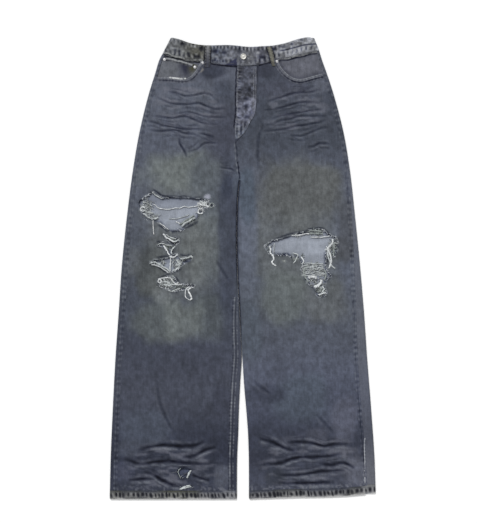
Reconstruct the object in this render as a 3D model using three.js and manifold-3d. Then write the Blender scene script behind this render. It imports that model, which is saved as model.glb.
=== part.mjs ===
// Ripped wide-leg jeans, lying on their back on a flat surface. Millimetres, +Z up.
// +Y points to the waist and +X to the wearer's left leg; sides are named as the wearer's.
// The origin is on the surface, under the middle of the outline.

import * as THREE from "three";
import { mergeVertices } from "three/addons/utils/BufferGeometryUtils.js";
import Module from "manifold-3d";

const wasm = await Module();
wasm.setup();
const { lerp, smoothstep } = THREE.MathUtils;

// Cloth and seams
const CLOTH = 1.2;
const SEAM_GAP = 0.3;
const LIFT = 0.3;
const FOLD_RADIUS = 2.2;
const TOP = 2 * FOLD_RADIUS;
const BAND_CLOTH = 2.4;
const BAND_RADIUS = 3.2;
const BAND_TOP = 2 * BAND_RADIUS;
const HEM_CLOTH = 2.2;
const HEM_RADIUS = 2.6;
const HEM_HEIGHT = 19;
const HEM_WAVE = 0.3;
const HEM_WAVES = 22;

// Outline of the laid-out garment
const CROTCH = 211;
const HEM_RIGHT = -553.5;
const WAIST_TOP = through([
  [-172.5, 552.5], [-155, 549.5], [-127, 540], [-98, 535], [-26, 534.5], [17, 530.5],
  [46, 532], [75, 534], [104, 540], [133, 549.5], [158, 553.5], [171, 552],
]);
const WAIST_BOTTOM = through([
  [-196, 513], [-158, 504], [-120, 499], [-97, 497.5], [-75, 491.5], [-45, 487.5], [-13, 485.5],
  [37, 488], [60, 493], [83, 501], [121, 507], [168, 518.5], [184, 520],
]);
const WAIST_BACK = through([
  [-196, 514], [-158, 506.5], [-120, 501.5], [-3, 491], [100, 507], [150, 516.5], [184, 521.5],
]);
const CENTRE_FRONT = through([
  [CROTCH, -8], [311, -18], [339, -19], [367, -16.5], [439, -15], [487, -13], [530, -12],
]);
const CENTRE_BACK = through([[CROTCH, -8], [350, -5], [487, -3], [535, -2]]);
const HEM_LEFT = through([[15, -553.5], [114, -550], [235, -547], [292, -542.5], [319, -539]]);

// The two legs. "side" is the way from the inner edge to the outer one. "outerWrap" is the width
// of back panel that is turned to the front, and "inseam" is where the inner seam lies,
// along the fold from the underside.
const EDGE_SEAM = FOLD_RADIUS * Math.PI / 2;
const RIGHT_LEG = {
  side: -1,
  outer: through([
    [-554, -319.5], [-451, -317], [-336, -312], [-221, -306], [-106, -298], [10, -290],
    [125, -278], [240, -263], [326, -248], [413, -227], [470, -209.5], [499, -200.5],
    [523, -188], [553, -172.5],
  ]),
  inner: through([
    [-554, -14.5], [-451, -13.5], [-394, -11], [-336, -9.3], [-278, -6.5], [-206, -2.6],
    [-160, -5.2], [-100, -8.4], [15, -13.9], [170, -12.4], [CROTCH, -8.4],
  ]),
  outerWrap: through([[-554, 11], [-300, 9], [70, 8], [240, 6], [500, 5]]),
  inseam: through([[-554, 17], [-314, 19], [-120, 15], [-40, 7], [60, EDGE_SEAM], [CROTCH, EDGE_SEAM]]),
  hemBottom: () => HEM_RIGHT,
};
const LEFT_LEG = {
  side: 1,
  outer: through([
    [-554, 319.5], [-451, 316], [-336, 308], [-221, 299], [-106, 291], [10, 281], [125, 269.5],
    [240, 256.5], [326, 242], [413, 219.5], [470, 201], [499, 190.5], [523, 183], [553, 171],
  ]),
  inner: through([
    [-554, 15], [-451, 14.5], [-394, 12.5], [-336, 8], [-278, 3], [-206, -1.4],
    [-160, -4.3], [-100, -7.6], [15, -13.1], [170, -11.6], [CROTCH, -7.6],
  ]),
  outerWrap: through([[-554, 22], [-270, 26], [-77, 20], [190, 8], [300, 5], [500, 5]]),
  inseam: () => EDGE_SEAM,
  hemBottom: HEM_LEFT,
};

// Grid of the panels: heights of their rows, and columns across
const FRONT_LEVELS = [
  485, 468, 452, ...steps(440, 292, 9), ...steps(280, 228, 26), 214, 204,
  ...steps(160, -390, 50), ...steps(-425, -535, 10),
];
const BACK_LEVELS = [
  420, 390, 368, 330, 290, 255, 214, 204, ...steps(160, -390, 50), -425, -480, -535,
];
const YOKE_STEPS = [0, 0.5, 1];
const FRONT_COLUMNS = 10;
const BACK_COLUMNS = 9;
const FOLD_COLUMNS = 4;
const FLAT_END = 6;
const HEM_COLUMNS = 4 * HEM_WAVES;

// Back yoke and patch pockets
const YOKE_MIDDLE = 420;
const YOKE_SIDE = 457;
const YOKE_SPAN = 210;
const POCKET_CLOTH = 1;
const UNDER_LIFT = 1.6;
const POCKET = { top: 392, bottom: 260, point: 240, halfTop: 72, halfBottom: 64 };
const POCKET_RIGHT = -128;
const POCKET_LEFT = 128;
const LIFT_MARGIN = 10;
const LIFT_RAMP = 12;

// Main folds of the fronts: [x, y] at both ends, and the bow between them
const FOLD_DEPTH = 1;
const FOLD_WIDTH = 7;
const FLY_CLEAR = [50, 80];
const FOLDS = [
  [-208, 411, -40, 384, -8], [-150, 372, -40, 362, 4], [-217, 365, -60, 345, -6],
  [-236, 352, -91, 331, -6], [-225, 331, -100, 314, -5],
  [58, 398, 188, 430, 6], [51, 379, 183, 398, 5], [70, 358, 193, 382, 5], [54, 343, 202, 365, 4],
  [49, 329, 200, 355, 5], [111, 319, 205, 338, -4],
  [-251, -437, -91, -415, 7], [-145, -454, -64, -430, -6], [-285, -456, -71, -468, -5],
  [-237, -490, -141, -523, 0], [104, -420, 253, -420, -8], [39, -408, 125, -439, 0],
  [46, -470, 241, -444, -4], [90, -497, 245, -485, 4],
  [-206, -269, -158, -406, 8], [25, -269, 70, -302, 0], [176, -350, 219, -396, 0],
];

// Rips, as [x, y] round each hole
const THIGH_RIP = [
  [-249, 160], [-236, 170], [-216, 184], [-210, 177], [-192, 169], [-150, 168], [-111, 165],
  [-96, 167], [-81, 156], [-67, 150], [-83, 146], [-95, 143], [-94, 134], [-108, 129], [-108, 117],
  [-121, 111], [-137, 100], [-143, 90], [-160, 88], [-177, 88], [-189, 98], [-199, 109],
  [-215, 118], [-239, 129], [-246, 141],
];
const SLIT_RIP = [[-190, 80], [-175, 76], [-153, 72], [-154, 61], [-161, 56], [-175, 61], [-184, 70]];
const NOTCH_RIP = [
  [-206, 60], [-192, 61], [-179, 55], [-164, 49], [-169, 41], [-174, 33], [-182, 38], [-190, 48],
  [-205, 53],
];
const SHIN_RIP = [
  [-223, 13], [-214, 19], [-200, 19], [-180, 24], [-158, 34], [-153, 24], [-136, 26], [-119, 31],
  [-125, 17], [-141, 10], [-148, 5], [-152, -3], [-173, -13], [-183, -5], [-195, 3], [-206, 8],
];
const LOWER_RIP = [
  [-206, -31], [-201, -25], [-190, -23], [-170, -19], [-163, -26], [-154, -36], [-143, -39],
  [-115, -41], [-118, -47], [-139, -52], [-170, -57], [-190, -47], [-201, -45],
];
const KNEE_RIP = [
  [51, 53], [71, 64], [115, 78], [149, 86], [176, 94], [191, 93], [204, 84], [225, 73], [229, 59],
  [229, 44], [221, 26], [200, 34], [199, 18], [199, -1], [212, -18], [200, -30], [197, -43],
  [202, -61], [197, -68], [180, -69], [174, -59], [173, -48], [158, -39], [149, -29], [148, -15],
  [140, -4], [144, 7], [137, 18], [131, 26], [111, 29], [80, 31], [67, 31], [58, 42],
];
const HEM_RIP = [[-159, -487], [-141, -479], [-125, -482], [-128, -494], [-143, -505], [-154, -496]];
const HEM_SLIT = [[-152, -531], [-137, -528.5], [-122, -526], [-122, -521], [-137, -523.5], [-152, -526]];

// Loose threads along the rips
const STRIP_WIDTH = 1.8;
const STRIP_LOW = TOP - 1;
const STRIP_HIGH = TOP + 0.2;
const THREAD_RADIUS = 0.45;
const THREAD_TIP = 0.3;
const THREAD_ROOT_HEIGHT = TOP - 0.4;
const THREAD_TIP_HEIGHT = CLOTH + 1;
const THREAD_SPACING = 13;
const THREAD_REACH = { middle: 5.5, spread: 2.5, turn: 1.7 };
const THREAD_LEAN = { spread: 2, turn: 2.3 };
const THREAD_CLEAR = 2;

// Front pockets, fly and hardware
const SCOOP_RIGHT = [
  [-101, 499.5], [-102.6, 491], [-106.4, 486], [-110.5, 478], [-115.6, 470.6], [-122, 463],
  [-130, 457.5], [-140, 454.5], [-158, 455.5], [-174, 458], [-216, 459],
];
const SCOOP_LEFT = [
  [86.5, 503], [87, 493], [93, 481], [106, 466.6], [122, 456.5], [140.5, 453.6], [163.6, 459.4],
  [185, 465], [207, 471],
];
const SCOOP_OVERLAP = 10;
const SCOOP_CLEAR = 60;
const FACING_STEPS = 6;
const MOUTH_MIDDLE = 488;
const FACING_LOW = CLOTH + 0.4;
const COIN_CLEAR = 1.2;
const COIN_TOP = [[-205, 508.5], [-131, 493], [-105, 487]];
const FLY_WIDTH = through([[306, 4], [322, 19], [334, 28], [354, 37], [366, 43], [391, 47], [484, 49]]);
const FLY_LEVELS = [484, 455, 425, 398, 380, 366, 354, 342, 330, 318, 306];
const FLY_COLUMNS = 4;
const LOOP_CLOTH = 1.8;
const LOOP_RIGHT = { top: [-83.2, 533], bottom: [-85, 482.5], width: 13 };
const LOOP_LEFT = { top: [63.3, 530], bottom: [75.4, 485], width: 11 };
const BACK_LOOPS = { loop_back_right: -118, loop_back_middle: -2, loop_back_left: 112 };
const BACK_LOOP_WIDTH = 12;
const BACK_LOOP_CLOTH = 0.8;
const BACK_LOOP_LIFT = BACK_LOOP_CLOTH + LIFT;
const BACK_LOOP_MARGIN = 10;
const BACK_BAND_COLUMNS = 22;
const LOOP_STEP = [7, 3];
const BUTTON = { x: 1.6, y: 507, radius: 7.2, height: 3.2, rim: 0.9, dish: 0.7 };
const RIVET_RADIUS = 3.5;
const RIVET_HEIGHT = 1.7;
const RIVETS_ON_COIN = { rivet_coin_side: [-187.8, 500.5], rivet_coin_front: [-114.8, 482] };
const RIVETS_ON_FRONT = { rivet_pocket_right: [-96.8, 492.4], rivet_pocket_left: [82.4, 496] };

// Colours
const DENIM = new THREE.MeshStandardMaterial({ color: 0x555a68, roughness: 0.9 });
const DENIM_WORN = new THREE.MeshStandardMaterial({ color: 0x70747e, roughness: 0.9 });
const DENIM_INSIDE = new THREE.MeshStandardMaterial({ color: 0x8e95a2, roughness: 0.9 });
const THREAD = new THREE.MeshStandardMaterial({ color: 0xc4c8cc, roughness: 0.9 });
const METAL = new THREE.MeshStandardMaterial({ color: 0xc8c8c4, roughness: 0.35, metalness: 0.9 });

const group = new THREE.Group();
group.name = "ripped_jeans";

// A smooth function through [at, value] pairs in rising order, level beyond both ends
function through(pairs) {
  const at = pairs.map((pair) => pair[0]);
  const values = pairs.map((pair) => pair[1]);
  const spline = new THREE.CubicInterpolant(at, values, 1, [0]);
  return (where) => spline.evaluate(where)[0];
}

// Even steps from one height down to another
function steps(from, to, step) {
  const count = Math.round((from - to) / step);
  return Array.from({ length: count + 1 }, (_, index) => lerp(from, to, index / count));
}

function add(name, geometry, material) {
  const mesh = new THREE.Mesh(geometry, material);
  mesh.name = name;
  group.add(mesh);
}

// Closed mesh from points and triangles, turned to face outwards
function closedMesh(points, triangles) {
  let volume = 0;
  for (const [a, b, c] of triangles) {
    volume += new THREE.Vector3(...points[a]).dot(
      new THREE.Vector3(...points[b]).cross(new THREE.Vector3(...points[c])),
    );
  }
  const facing = volume < 0 ? triangles.map(([a, b, c]) => [a, c, b]) : triangles;
  const geometry = new THREE.BufferGeometry();
  geometry.setAttribute("position", new THREE.Float32BufferAttribute(points.flat(), 3));
  geometry.setIndex(facing.flat());
  return geometry;
}

// Wall between two grids of points, given as rows of { outer, inner } pairs
function wall(rows) {
  const rowCount = rows.length;
  const columnCount = rows[0].length;
  const behind = rowCount * columnCount;
  const points = [
    ...rows.flat().map((pair) => pair.outer),
    ...rows.flat().map((pair) => pair.inner),
  ];
  const at = (row, column) => row * columnCount + column;
  const triangles = [];
  for (let row = 0; row + 1 < rowCount; row += 1) {
    for (let column = 0; column + 1 < columnCount; column += 1) {
      const [a, b] = [at(row, column), at(row, column + 1)];
      const [c, d] = [at(row + 1, column + 1), at(row + 1, column)];
      triangles.push([a, b, c], [a, c, d]);
      triangles.push([behind + a, behind + c, behind + b], [behind + a, behind + d, behind + c]);
    }
  }
  const rim = [];
  for (let column = 0; column < columnCount; column += 1) rim.push(at(0, column));
  for (let row = 1; row < rowCount; row += 1) rim.push(at(row, columnCount - 1));
  for (let column = columnCount - 2; column >= 0; column -= 1) rim.push(at(rowCount - 1, column));
  for (let row = rowCount - 2; row > 0; row -= 1) rim.push(at(row, 0));
  rim.forEach((a, index) => {
    const b = rim[(index + 1) % rim.length];
    triangles.push([b, a, behind + a], [b, behind + a, behind + b]);
  });
  return closedMesh(points, triangles);
}

// Upright prism over an outline of [x, y] points
function prism(outline, low, high) {
  const shape = new THREE.Shape(outline.map(([x, y]) => new THREE.Vector2(x, y)));
  const geometry = new THREE.ExtrudeGeometry(shape, { depth: high - low, bevelEnabled: false });
  return geometry.translate(0, 0, low);
}

function toManifold(geometry) {
  const bare = geometry.clone();
  bare.deleteAttribute("normal");
  bare.deleteAttribute("uv");
  const merged = mergeVertices(bare, 1e-4);
  return new wasm.Manifold(new wasm.Mesh({
    numProp: 3,
    vertProperties: new Float32Array(merged.attributes.position.array),
    triVerts: new Uint32Array(merged.index.array),
  }));
}

function toGeometry(manifold) {
  const mesh = manifold.getMesh();
  const geometry = new THREE.BufferGeometry();
  geometry.setAttribute("position", new THREE.BufferAttribute(mesh.vertProperties.slice(), 3));
  geometry.setIndex(new THREE.BufferAttribute(mesh.triVerts.slice(), 1));
  return geometry;
}

// How far a band of the underside is raised over what is sewn below it
function raisedBand(value, middle, half) {
  const past = Math.abs(value - middle) - half - LIFT_MARGIN;
  return 1 - smoothstep(past, 0, LIFT_RAMP);
}

function under(x, y) {
  const tall = raisedBand(y, (POCKET.top + POCKET.point) / 2, (POCKET.top - POCKET.point) / 2);
  const wide = Math.max(
    raisedBand(x, POCKET_RIGHT, POCKET.halfTop),
    raisedBand(x, POCKET_LEFT, POCKET.halfTop),
  );
  return UNDER_LIFT * tall * wide;
}

// Depth of the main folds at a point of the fronts: a trough with a low ridge on each side
function folds(x, y) {
  let height = 0;
  for (const [x0, y0, x1, y1, bow] of FOLDS) {
    const long = Math.hypot(x1 - x0, y1 - y0);
    const along = ((x - x0) * (x1 - x0) + (y - y0) * (y1 - y0)) / (long * long);
    if (along <= 0 || along >= 1) continue;
    const across = ((x - x0) * (y0 - y1) + (y - y0) * (x1 - x0)) / long + bow * 4 * along * (1 - along);
    const ratio = across / FOLD_WIDTH;
    const profile = (0.45 * ratio * ratio - 1) * Math.exp(-ratio * ratio / 2);
    height += FOLD_DEPTH * profile * Math.sqrt(Math.sin(Math.PI * along));
  }
  const clear = y > CROTCH ? smoothstep(Math.abs(x), ...FLY_CLEAR) : 1;
  return clear * Math.max(-FOLD_DEPTH, Math.min(FOLD_DEPTH, height));
}

// A pair of points on a fold, "s" along its outer face from the underside to the top
function foldPair(edge, side, s, y, radius, cloth) {
  const turn = Math.min(s / radius, Math.PI);
  const past = Math.max(0, s - Math.PI * radius);
  const middle = edge - side * radius;
  const inside = radius - cloth;
  return {
    outer: [middle + side * (radius * Math.sin(turn) - past), y, radius - radius * Math.cos(turn)],
    inner: [middle + side * (inside * Math.sin(turn) - past), y, radius - inside * Math.cos(turn)],
  };
}

// Distances along a fold from the underside to a seam: round the bend, then straight on
function foldStops(seam, radius) {
  const bend = Math.PI * radius;
  if (seam <= bend) return [0.25, 0.5, 0.75, 1].map((share) => share * seam);
  return [bend / 3, 2 * bend / 3, bend, seam];
}

// Where an edge curve meets a row that runs at a share "t" between two border curves
function meet(edge, top, bottom, t) {
  let x = edge(lerp(top(0), bottom(0), t));
  for (let round = 0; round < 4; round += 1) x = edge(lerp(top(x), bottom(x), t));
  return { x, y: lerp(top(x), bottom(x), t) };
}

// Row of a front panel, from its outer seam across the top to its inner edge
function frontRow(leg, top, bottom, t, columns, cloth, radius, relief) {
  const outer = meet(leg.outer, top, bottom, t);
  const inner = meet(leg.inner, top, bottom, t);
  const start = outer.x - leg.side * (radius + leg.outerWrap(outer.y) + SEAM_GAP / 2);
  const split = inner.y < CROTCH;
  const centre = meet(CENTRE_FRONT, top, bottom, t);
  const seam = leg.inseam(inner.y) + SEAM_GAP / 2;
  const flat = Math.max(Math.PI * radius, seam) + FLAT_END;
  const inward = split
    ? inner.x + leg.side * (radius + flat - Math.PI * radius)
    : centre.x + leg.side * (SEAM_GAP / 2 + FLAT_END);
  const row = [];
  const place = (x, fade) => {
    const y = lerp(top(x), bottom(x), t);
    const height = 2 * radius + under(x, y) + relief(x, y) * fade;
    row.push({ outer: [x, y, height], inner: [x, y, height - cloth] });
  };
  for (let column = 0; column <= columns; column += 1) {
    const share = column / columns;
    place(lerp(start, inward, share), smoothstep(Math.min(share, 1 - share), 0, 0.1));
  }
  const bend = Math.PI * radius;
  for (let column = 1; column <= FOLD_COLUMNS; column += 1) {
    const share = column / FOLD_COLUMNS;
    const round = lerp(bend, seam, (column - 1) / (FOLD_COLUMNS - 1));
    const s = seam < bend ? round : lerp(flat, seam, share);
    if (split) row.push(foldPair(inner.x, -leg.side, s, inner.y, radius, cloth));
    else place(inward - leg.side * FLAT_END * share, 0);
  }
  return row;
}

// Row of a back panel, from its outer seam round the side and along the underside
function backRow(leg, top, bottom, t, columns, cloth, radius, raise) {
  const outer = meet(leg.outer, top, bottom, t);
  const inner = meet(leg.inner, top, bottom, t);
  const centre = meet(CENTRE_BACK, top, bottom, t);
  const split = inner.y < CROTCH;
  const outerSeam = Math.PI * radius + leg.outerWrap(outer.y) - SEAM_GAP / 2;
  const innerSeam = leg.inseam(inner.y) - SEAM_GAP / 2;
  const start = outer.x - leg.side * radius;
  const end = split ? inner.x + leg.side * radius : centre.x + leg.side * (SEAM_GAP / 2 + FLAT_END);
  const row = [];
  const place = (x) => {
    const y = lerp(top(x), bottom(x), t);
    const height = raise(x, y);
    row.push({ outer: [x, y, height], inner: [x, y, height + cloth] });
  };
  for (const s of foldStops(outerSeam, radius).reverse()) {
    row.push(foldPair(outer.x, leg.side, s, outer.y, radius, cloth));
  }
  for (let column = 0; column <= columns; column += 1) place(lerp(start, end, column / columns));
  foldStops(innerSeam, radius).forEach((s, index) => {
    if (split) row.push(foldPair(inner.x, -leg.side, s, inner.y, radius, cloth));
    else place(end - leg.side * FLAT_END * (index + 1) / FOLD_COLUMNS);
  });
  return row;
}

function shares(levels) {
  const top = levels[0];
  const bottom = levels[levels.length - 1];
  return levels.map((level) => (top - level) / (top - bottom));
}

const waistSeam = (x) => WAIST_BOTTOM(x) - SEAM_GAP;
const backWaistSeam = (x) => WAIST_BACK(x) - 2 * SEAM_GAP;
const yokeSeam = (x) => lerp(YOKE_MIDDLE, YOKE_SIDE, Math.min(1, Math.abs(x) / YOKE_SPAN));
const level = () => 0;

// Panels of one leg
function frontPanel(leg, cuts) {
  const hemTop = (x) => leg.hemBottom(x) + HEM_HEIGHT + SEAM_GAP;
  const rows = shares(FRONT_LEVELS).map((t) => (
    frontRow(leg, waistSeam, hemTop, t, FRONT_COLUMNS, CLOTH, FOLD_RADIUS, folds)
  ));
  let solid = toManifold(wall(rows));
  for (const cut of cuts) solid = solid.subtract(toManifold(prism(cut, -TOP, 3 * TOP)));
  return toGeometry(solid);
}

function backPanel(leg) {
  const hemTop = (x) => leg.hemBottom(x) + HEM_HEIGHT + SEAM_GAP;
  const below = (x) => yokeSeam(x) - SEAM_GAP / 2;
  return wall(shares(BACK_LEVELS).map((t) => (
    backRow(leg, below, hemTop, t, BACK_COLUMNS, CLOTH, FOLD_RADIUS, under)
  )));
}

function yoke(leg) {
  const above = (x) => yokeSeam(x) + SEAM_GAP / 2;
  return wall(YOKE_STEPS.map((t) => (
    backRow(leg, backWaistSeam, above, t, BACK_COLUMNS, CLOTH, FOLD_RADIUS, under)
  )));
}

// Hems, with the twisted ridges of a turned edge on their upper face
function frontHem(leg) {
  const hemTop = (x) => leg.hemBottom(x) + HEM_HEIGHT;
  const pitch = (leg.outer(HEM_RIGHT) - leg.inner(HEM_RIGHT)) / HEM_WAVES;
  const waves = (x, y) => HEM_WAVE * Math.sin(2 * Math.PI * (x + y / 2) / pitch);
  return wall([0, 1].map((t) => (
    frontRow(leg, hemTop, leg.hemBottom, t, HEM_COLUMNS, HEM_CLOTH, HEM_RADIUS, waves)
  )));
}

function backHem(leg) {
  const hemTop = (x) => leg.hemBottom(x) + HEM_HEIGHT;
  return wall([0, 1].map((t) => (
    backRow(leg, hemTop, leg.hemBottom, t, BACK_COLUMNS, HEM_CLOTH, HEM_RADIUS, level)
  )));
}

// A scooped pocket mouth: the region between the scoop, the waistband and the side
function scoopRegion(leg, scoop) {
  const [first, last] = [scoop[0], scoop[scoop.length - 1]];
  const far = last[0] + leg.side * SCOOP_CLEAR;
  const high = first[1] + SCOOP_CLEAR;
  return [...scoop, [far, last[1]], [far, high], [first[0], high]];
}

// Cloth that shows in a pocket mouth: the scoop moved under the front, up to the waistband and side
function facing(leg, scoop) {
  const side = (y) => leg.outer(y) - leg.side * (FOLD_RADIUS + leg.outerWrap(y) + 2 * SEAM_GAP);
  const [first, last] = [scoop[0], scoop[scoop.length - 1]];
  const moved = scoop.slice(0, -1).map(([x, y], index) => {
    const share = index / (scoop.length - 1);
    return [x - leg.side * SCOOP_OVERLAP * (1 - share), y - SCOOP_OVERLAP * share];
  });
  const low = last[1] - SCOOP_OVERLAP;
  const outline = [...moved.slice(1), [side(low), low], [side(MOUTH_MIDDLE), MOUTH_MIDDLE]];
  const corner = meet(side, waistSeam, waistSeam, 0).x;
  for (let index = 0; index <= FACING_STEPS; index += 1) {
    const x = lerp(corner, first[0] - leg.side * SCOOP_OVERLAP, index / FACING_STEPS);
    outline.push([x, waistSeam(x)]);
  }
  return prism(outline, FACING_LOW, FACING_LOW + CLOTH);
}

function coinPocket() {
  const side = (y) => RIGHT_LEG.outer(y) + FOLD_RADIUS + RIGHT_LEG.outerWrap(y) + COIN_CLEAR;
  const inside = SCOOP_RIGHT.slice(2, -1).map(([x, y]) => [x - SEAM_GAP, y + SEAM_GAP]);
  const low = SCOOP_RIGHT[SCOOP_RIGHT.length - 1][1] + SEAM_GAP;
  const slope = (x) => {
    const [a, b, c] = COIN_TOP;
    const [from, to] = x < b[0] ? [a, b] : [b, c];
    return lerp(from[1], to[1], (x - from[0]) / (to[0] - from[0]));
  };
  const corner = meet(side, slope, slope, 0).x;
  const first = inside[0];
  const outline = [
    ...inside, [side(low), low], [side(MOUTH_MIDDLE), MOUTH_MIDDLE], [corner, slope(corner)],
    COIN_TOP[1], [first[0], slope(first[0])],
  ];
  const base = FACING_LOW + CLOTH + LIFT;
  return prism(outline, base, base + CLOTH);
}

function backPocket(middle) {
  const outline = [
    [middle - POCKET.halfTop, POCKET.top], [middle - POCKET.halfBottom, POCKET.bottom],
    [middle, POCKET.point], [middle + POCKET.halfBottom, POCKET.bottom],
    [middle + POCKET.halfTop, POCKET.top],
  ];
  return prism(outline, 0, POCKET_CLOTH);
}

// Half of the front waistband, from its side seam to the centre front
function waistbandFront(leg) {
  const seam = (y) => (
    leg.outer(y) - leg.side * (BAND_RADIUS + leg.outerWrap(y) + SEAM_GAP / 2)
  );
  const rows = [0, 0.5, 1].map((t) => {
    const from = meet(seam, WAIST_TOP, WAIST_BOTTOM, t).x;
    const to = meet(CENTRE_FRONT, WAIST_TOP, WAIST_BOTTOM, t).x + leg.side * SEAM_GAP / 2;
    const places = steps(from, to + leg.side * FLAT_END, (from - to) / FRONT_COLUMNS);
    return [...places, to].map((x) => {
      const y = lerp(WAIST_TOP(x), WAIST_BOTTOM(x), t);
      return { outer: [x, y, BAND_TOP], inner: [x, y, BAND_TOP - BAND_CLOTH] };
    });
  });
  return wall(rows);
}

// Back of the waistband, along the underside and round both sides to the front
function waistbandBack() {
  const columns = BACK_BAND_COLUMNS;
  const raise = (x) => BACK_LOOP_LIFT * Math.max(...Object.values(BACK_LOOPS).map((middle) => (
    1 - smoothstep(Math.abs(x - middle) - BACK_LOOP_WIDTH / 2 - BACK_LOOP_MARGIN, 0, LIFT_RAMP)
  )));
  const side = (leg, t, s) => {
    const edge = meet(leg.outer, WAIST_TOP, WAIST_BACK, t);
    return foldPair(edge.x, leg.side, s, edge.y, BAND_RADIUS, BAND_CLOTH);
  };
  const rows = [0, 0.5, 1].map((t) => {
    const row = [];
    const right = meet(RIGHT_LEG.outer, WAIST_TOP, WAIST_BACK, t);
    const left = meet(LEFT_LEG.outer, WAIST_TOP, WAIST_BACK, t);
    const seam = (leg, y) => Math.PI * BAND_RADIUS + leg.outerWrap(y) - SEAM_GAP / 2;
    for (const s of foldStops(seam(RIGHT_LEG, right.y), BAND_RADIUS).reverse()) {
      row.push(side(RIGHT_LEG, t, s));
    }
    for (let column = 0; column <= columns; column += 1) {
      const x = lerp(right.x + BAND_RADIUS, left.x - BAND_RADIUS, column / columns);
      const y = lerp(WAIST_TOP(x), WAIST_BACK(x), t);
      row.push({ outer: [x, y, raise(x)], inner: [x, y, raise(x) + BAND_CLOTH] });
    }
    for (const s of foldStops(seam(LEFT_LEG, left.y), BAND_RADIUS)) row.push(side(LEFT_LEG, t, s));
    return row;
  });
  return wall(rows);
}

// Fly placket, lying on the left front
function flyPlacket() {
  return wall(FLY_LEVELS.map((y) => Array.from({ length: FLY_COLUMNS + 1 }, (_, column) => {
    const x = CENTRE_FRONT(y) + SEAM_GAP + FLY_WIDTH(y) * column / FLY_COLUMNS;
    const base = TOP + under(x, y) + folds(x, y) + LIFT;
    return { outer: [x, y, base + CLOTH], inner: [x, y, base] };
  })));
}

// Front belt loop: flat over the waistband, with its lower end down on the panel
function frontLoop({ top, bottom, width }) {
  const seam = WAIST_BOTTOM((top[0] + bottom[0]) / 2);
  const low = TOP + LIFT;
  const high = BAND_TOP + LIFT;
  const stations = [
    [bottom[1], low], [seam - LOOP_STEP[0], low], [seam - LOOP_STEP[1], high],
    [lerp(seam, top[1], 0.5), high], [top[1], high],
  ];
  return wall(stations.map(([y, base]) => {
    const x = lerp(bottom[0], top[0], (y - bottom[1]) / (top[1] - bottom[1]));
    return [-width / 2, 0, width / 2].map((offset) => (
      { outer: [x + offset, y, base + LOOP_CLOTH], inner: [x + offset, y, base] }
    ));
  }));
}

function backLoop(middle) {
  const top = WAIST_TOP(middle) - 1;
  const low = WAIST_BACK(middle) + 1;
  const half = BACK_LOOP_WIDTH / 2;
  const outline = [[middle - half, low], [middle + half, low], [middle + half, top], [middle - half, top]];
  return prism(outline, 0, BACK_LOOP_CLOTH);
}

// Waist button with a raised rim and a dished middle
function button() {
  const { radius, height, rim, dish } = BUTTON;
  const profile = [
    [0, 0], [radius - rim, 0], [radius, height * 0.4], [radius - rim / 3, height * 0.85],
    [radius - rim, height], [radius - 2 * rim, height - dish / 3], [radius / 2, height - dish],
    [0, height - dish],
  ].map(([x, y]) => new THREE.Vector2(x, y));
  const geometry = new THREE.LatheGeometry(profile, 20).rotateX(Math.PI / 2);
  return mergeVertices(stripped(geometry.translate(BUTTON.x, BUTTON.y, BAND_TOP + LIFT)), 1e-4);
}

function stripped(geometry) {
  geometry.deleteAttribute("normal");
  geometry.deleteAttribute("uv");
  return geometry;
}

function rivet([x, y], base) {
  const profile = [
    [0, 0], [RIVET_RADIUS, 0], [RIVET_RADIUS, RIVET_HEIGHT * 0.35], [RIVET_RADIUS * 0.7, RIVET_HEIGHT * 0.6],
    [RIVET_RADIUS * 0.5, RIVET_HEIGHT], [0, RIVET_HEIGHT],
  ].map(([radius, height]) => new THREE.Vector2(radius, height));
  const geometry = new THREE.LatheGeometry(profile, 12).rotateX(Math.PI / 2);
  return mergeVertices(stripped(geometry.translate(x, y, base)), 1e-4);
}

// Outline moved inwards by a distance; the points run clockwise or the other way round
function inset(outline, distance) {
  const turn = THREE.ShapeUtils.area(outline.map(([x, y]) => new THREE.Vector2(x, y))) > 0 ? 1 : -1;
  const count = outline.length;
  return outline.map((point, index) => {
    const before = new THREE.Vector2(...outline[(index + count - 1) % count]);
    const here = new THREE.Vector2(...point);
    const after = new THREE.Vector2(...outline[(index + 1) % count]);
    const into = here.clone().sub(before).normalize();
    const onward = after.sub(here).normalize();
    const mitre = distance / Math.max(0.1, 1 + into.dot(onward));
    const way = into.add(onward);
    return [here.x - turn * way.y * mitre, here.y + turn * way.x * mitre];
  });
}

// Thread of three sides from a root to a tip
function thread(root, tip) {
  const from = new THREE.Vector3(...root);
  const to = new THREE.Vector3(...tip);
  const along = to.clone().sub(from).normalize();
  const across = new THREE.Vector3(0, 0, 1).cross(along).normalize();
  const up = along.clone().cross(across);
  const ring = (middle, radius) => [0, 1, 2].map((index) => {
    const angle = 2 * Math.PI * index / 3;
    return middle.clone()
      .addScaledVector(across, radius * Math.cos(angle))
      .addScaledVector(up, radius * Math.sin(angle))
      .toArray();
  });
  const points = [...ring(from, THREAD_RADIUS), ...ring(to, THREAD_TIP)];
  const triangles = [[0, 2, 1], [3, 4, 5]];
  for (let index = 0; index < 3; index += 1) {
    const next = (index + 1) % 3;
    triangles.push([index, next, next + 3], [index, next + 3, index + 3]);
  }
  return closedMesh(points, triangles);
}

function isInside([x, y], outline) {
  let inside = false;
  outline.forEach(([x0, y0], index) => {
    const [x1, y1] = outline[(index + 1) % outline.length];
    if ((y0 > y) !== (y1 > y) && x < x0 + (x1 - x0) * (y - y0) / (y1 - y0)) inside = !inside;
  });
  return inside;
}

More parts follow.
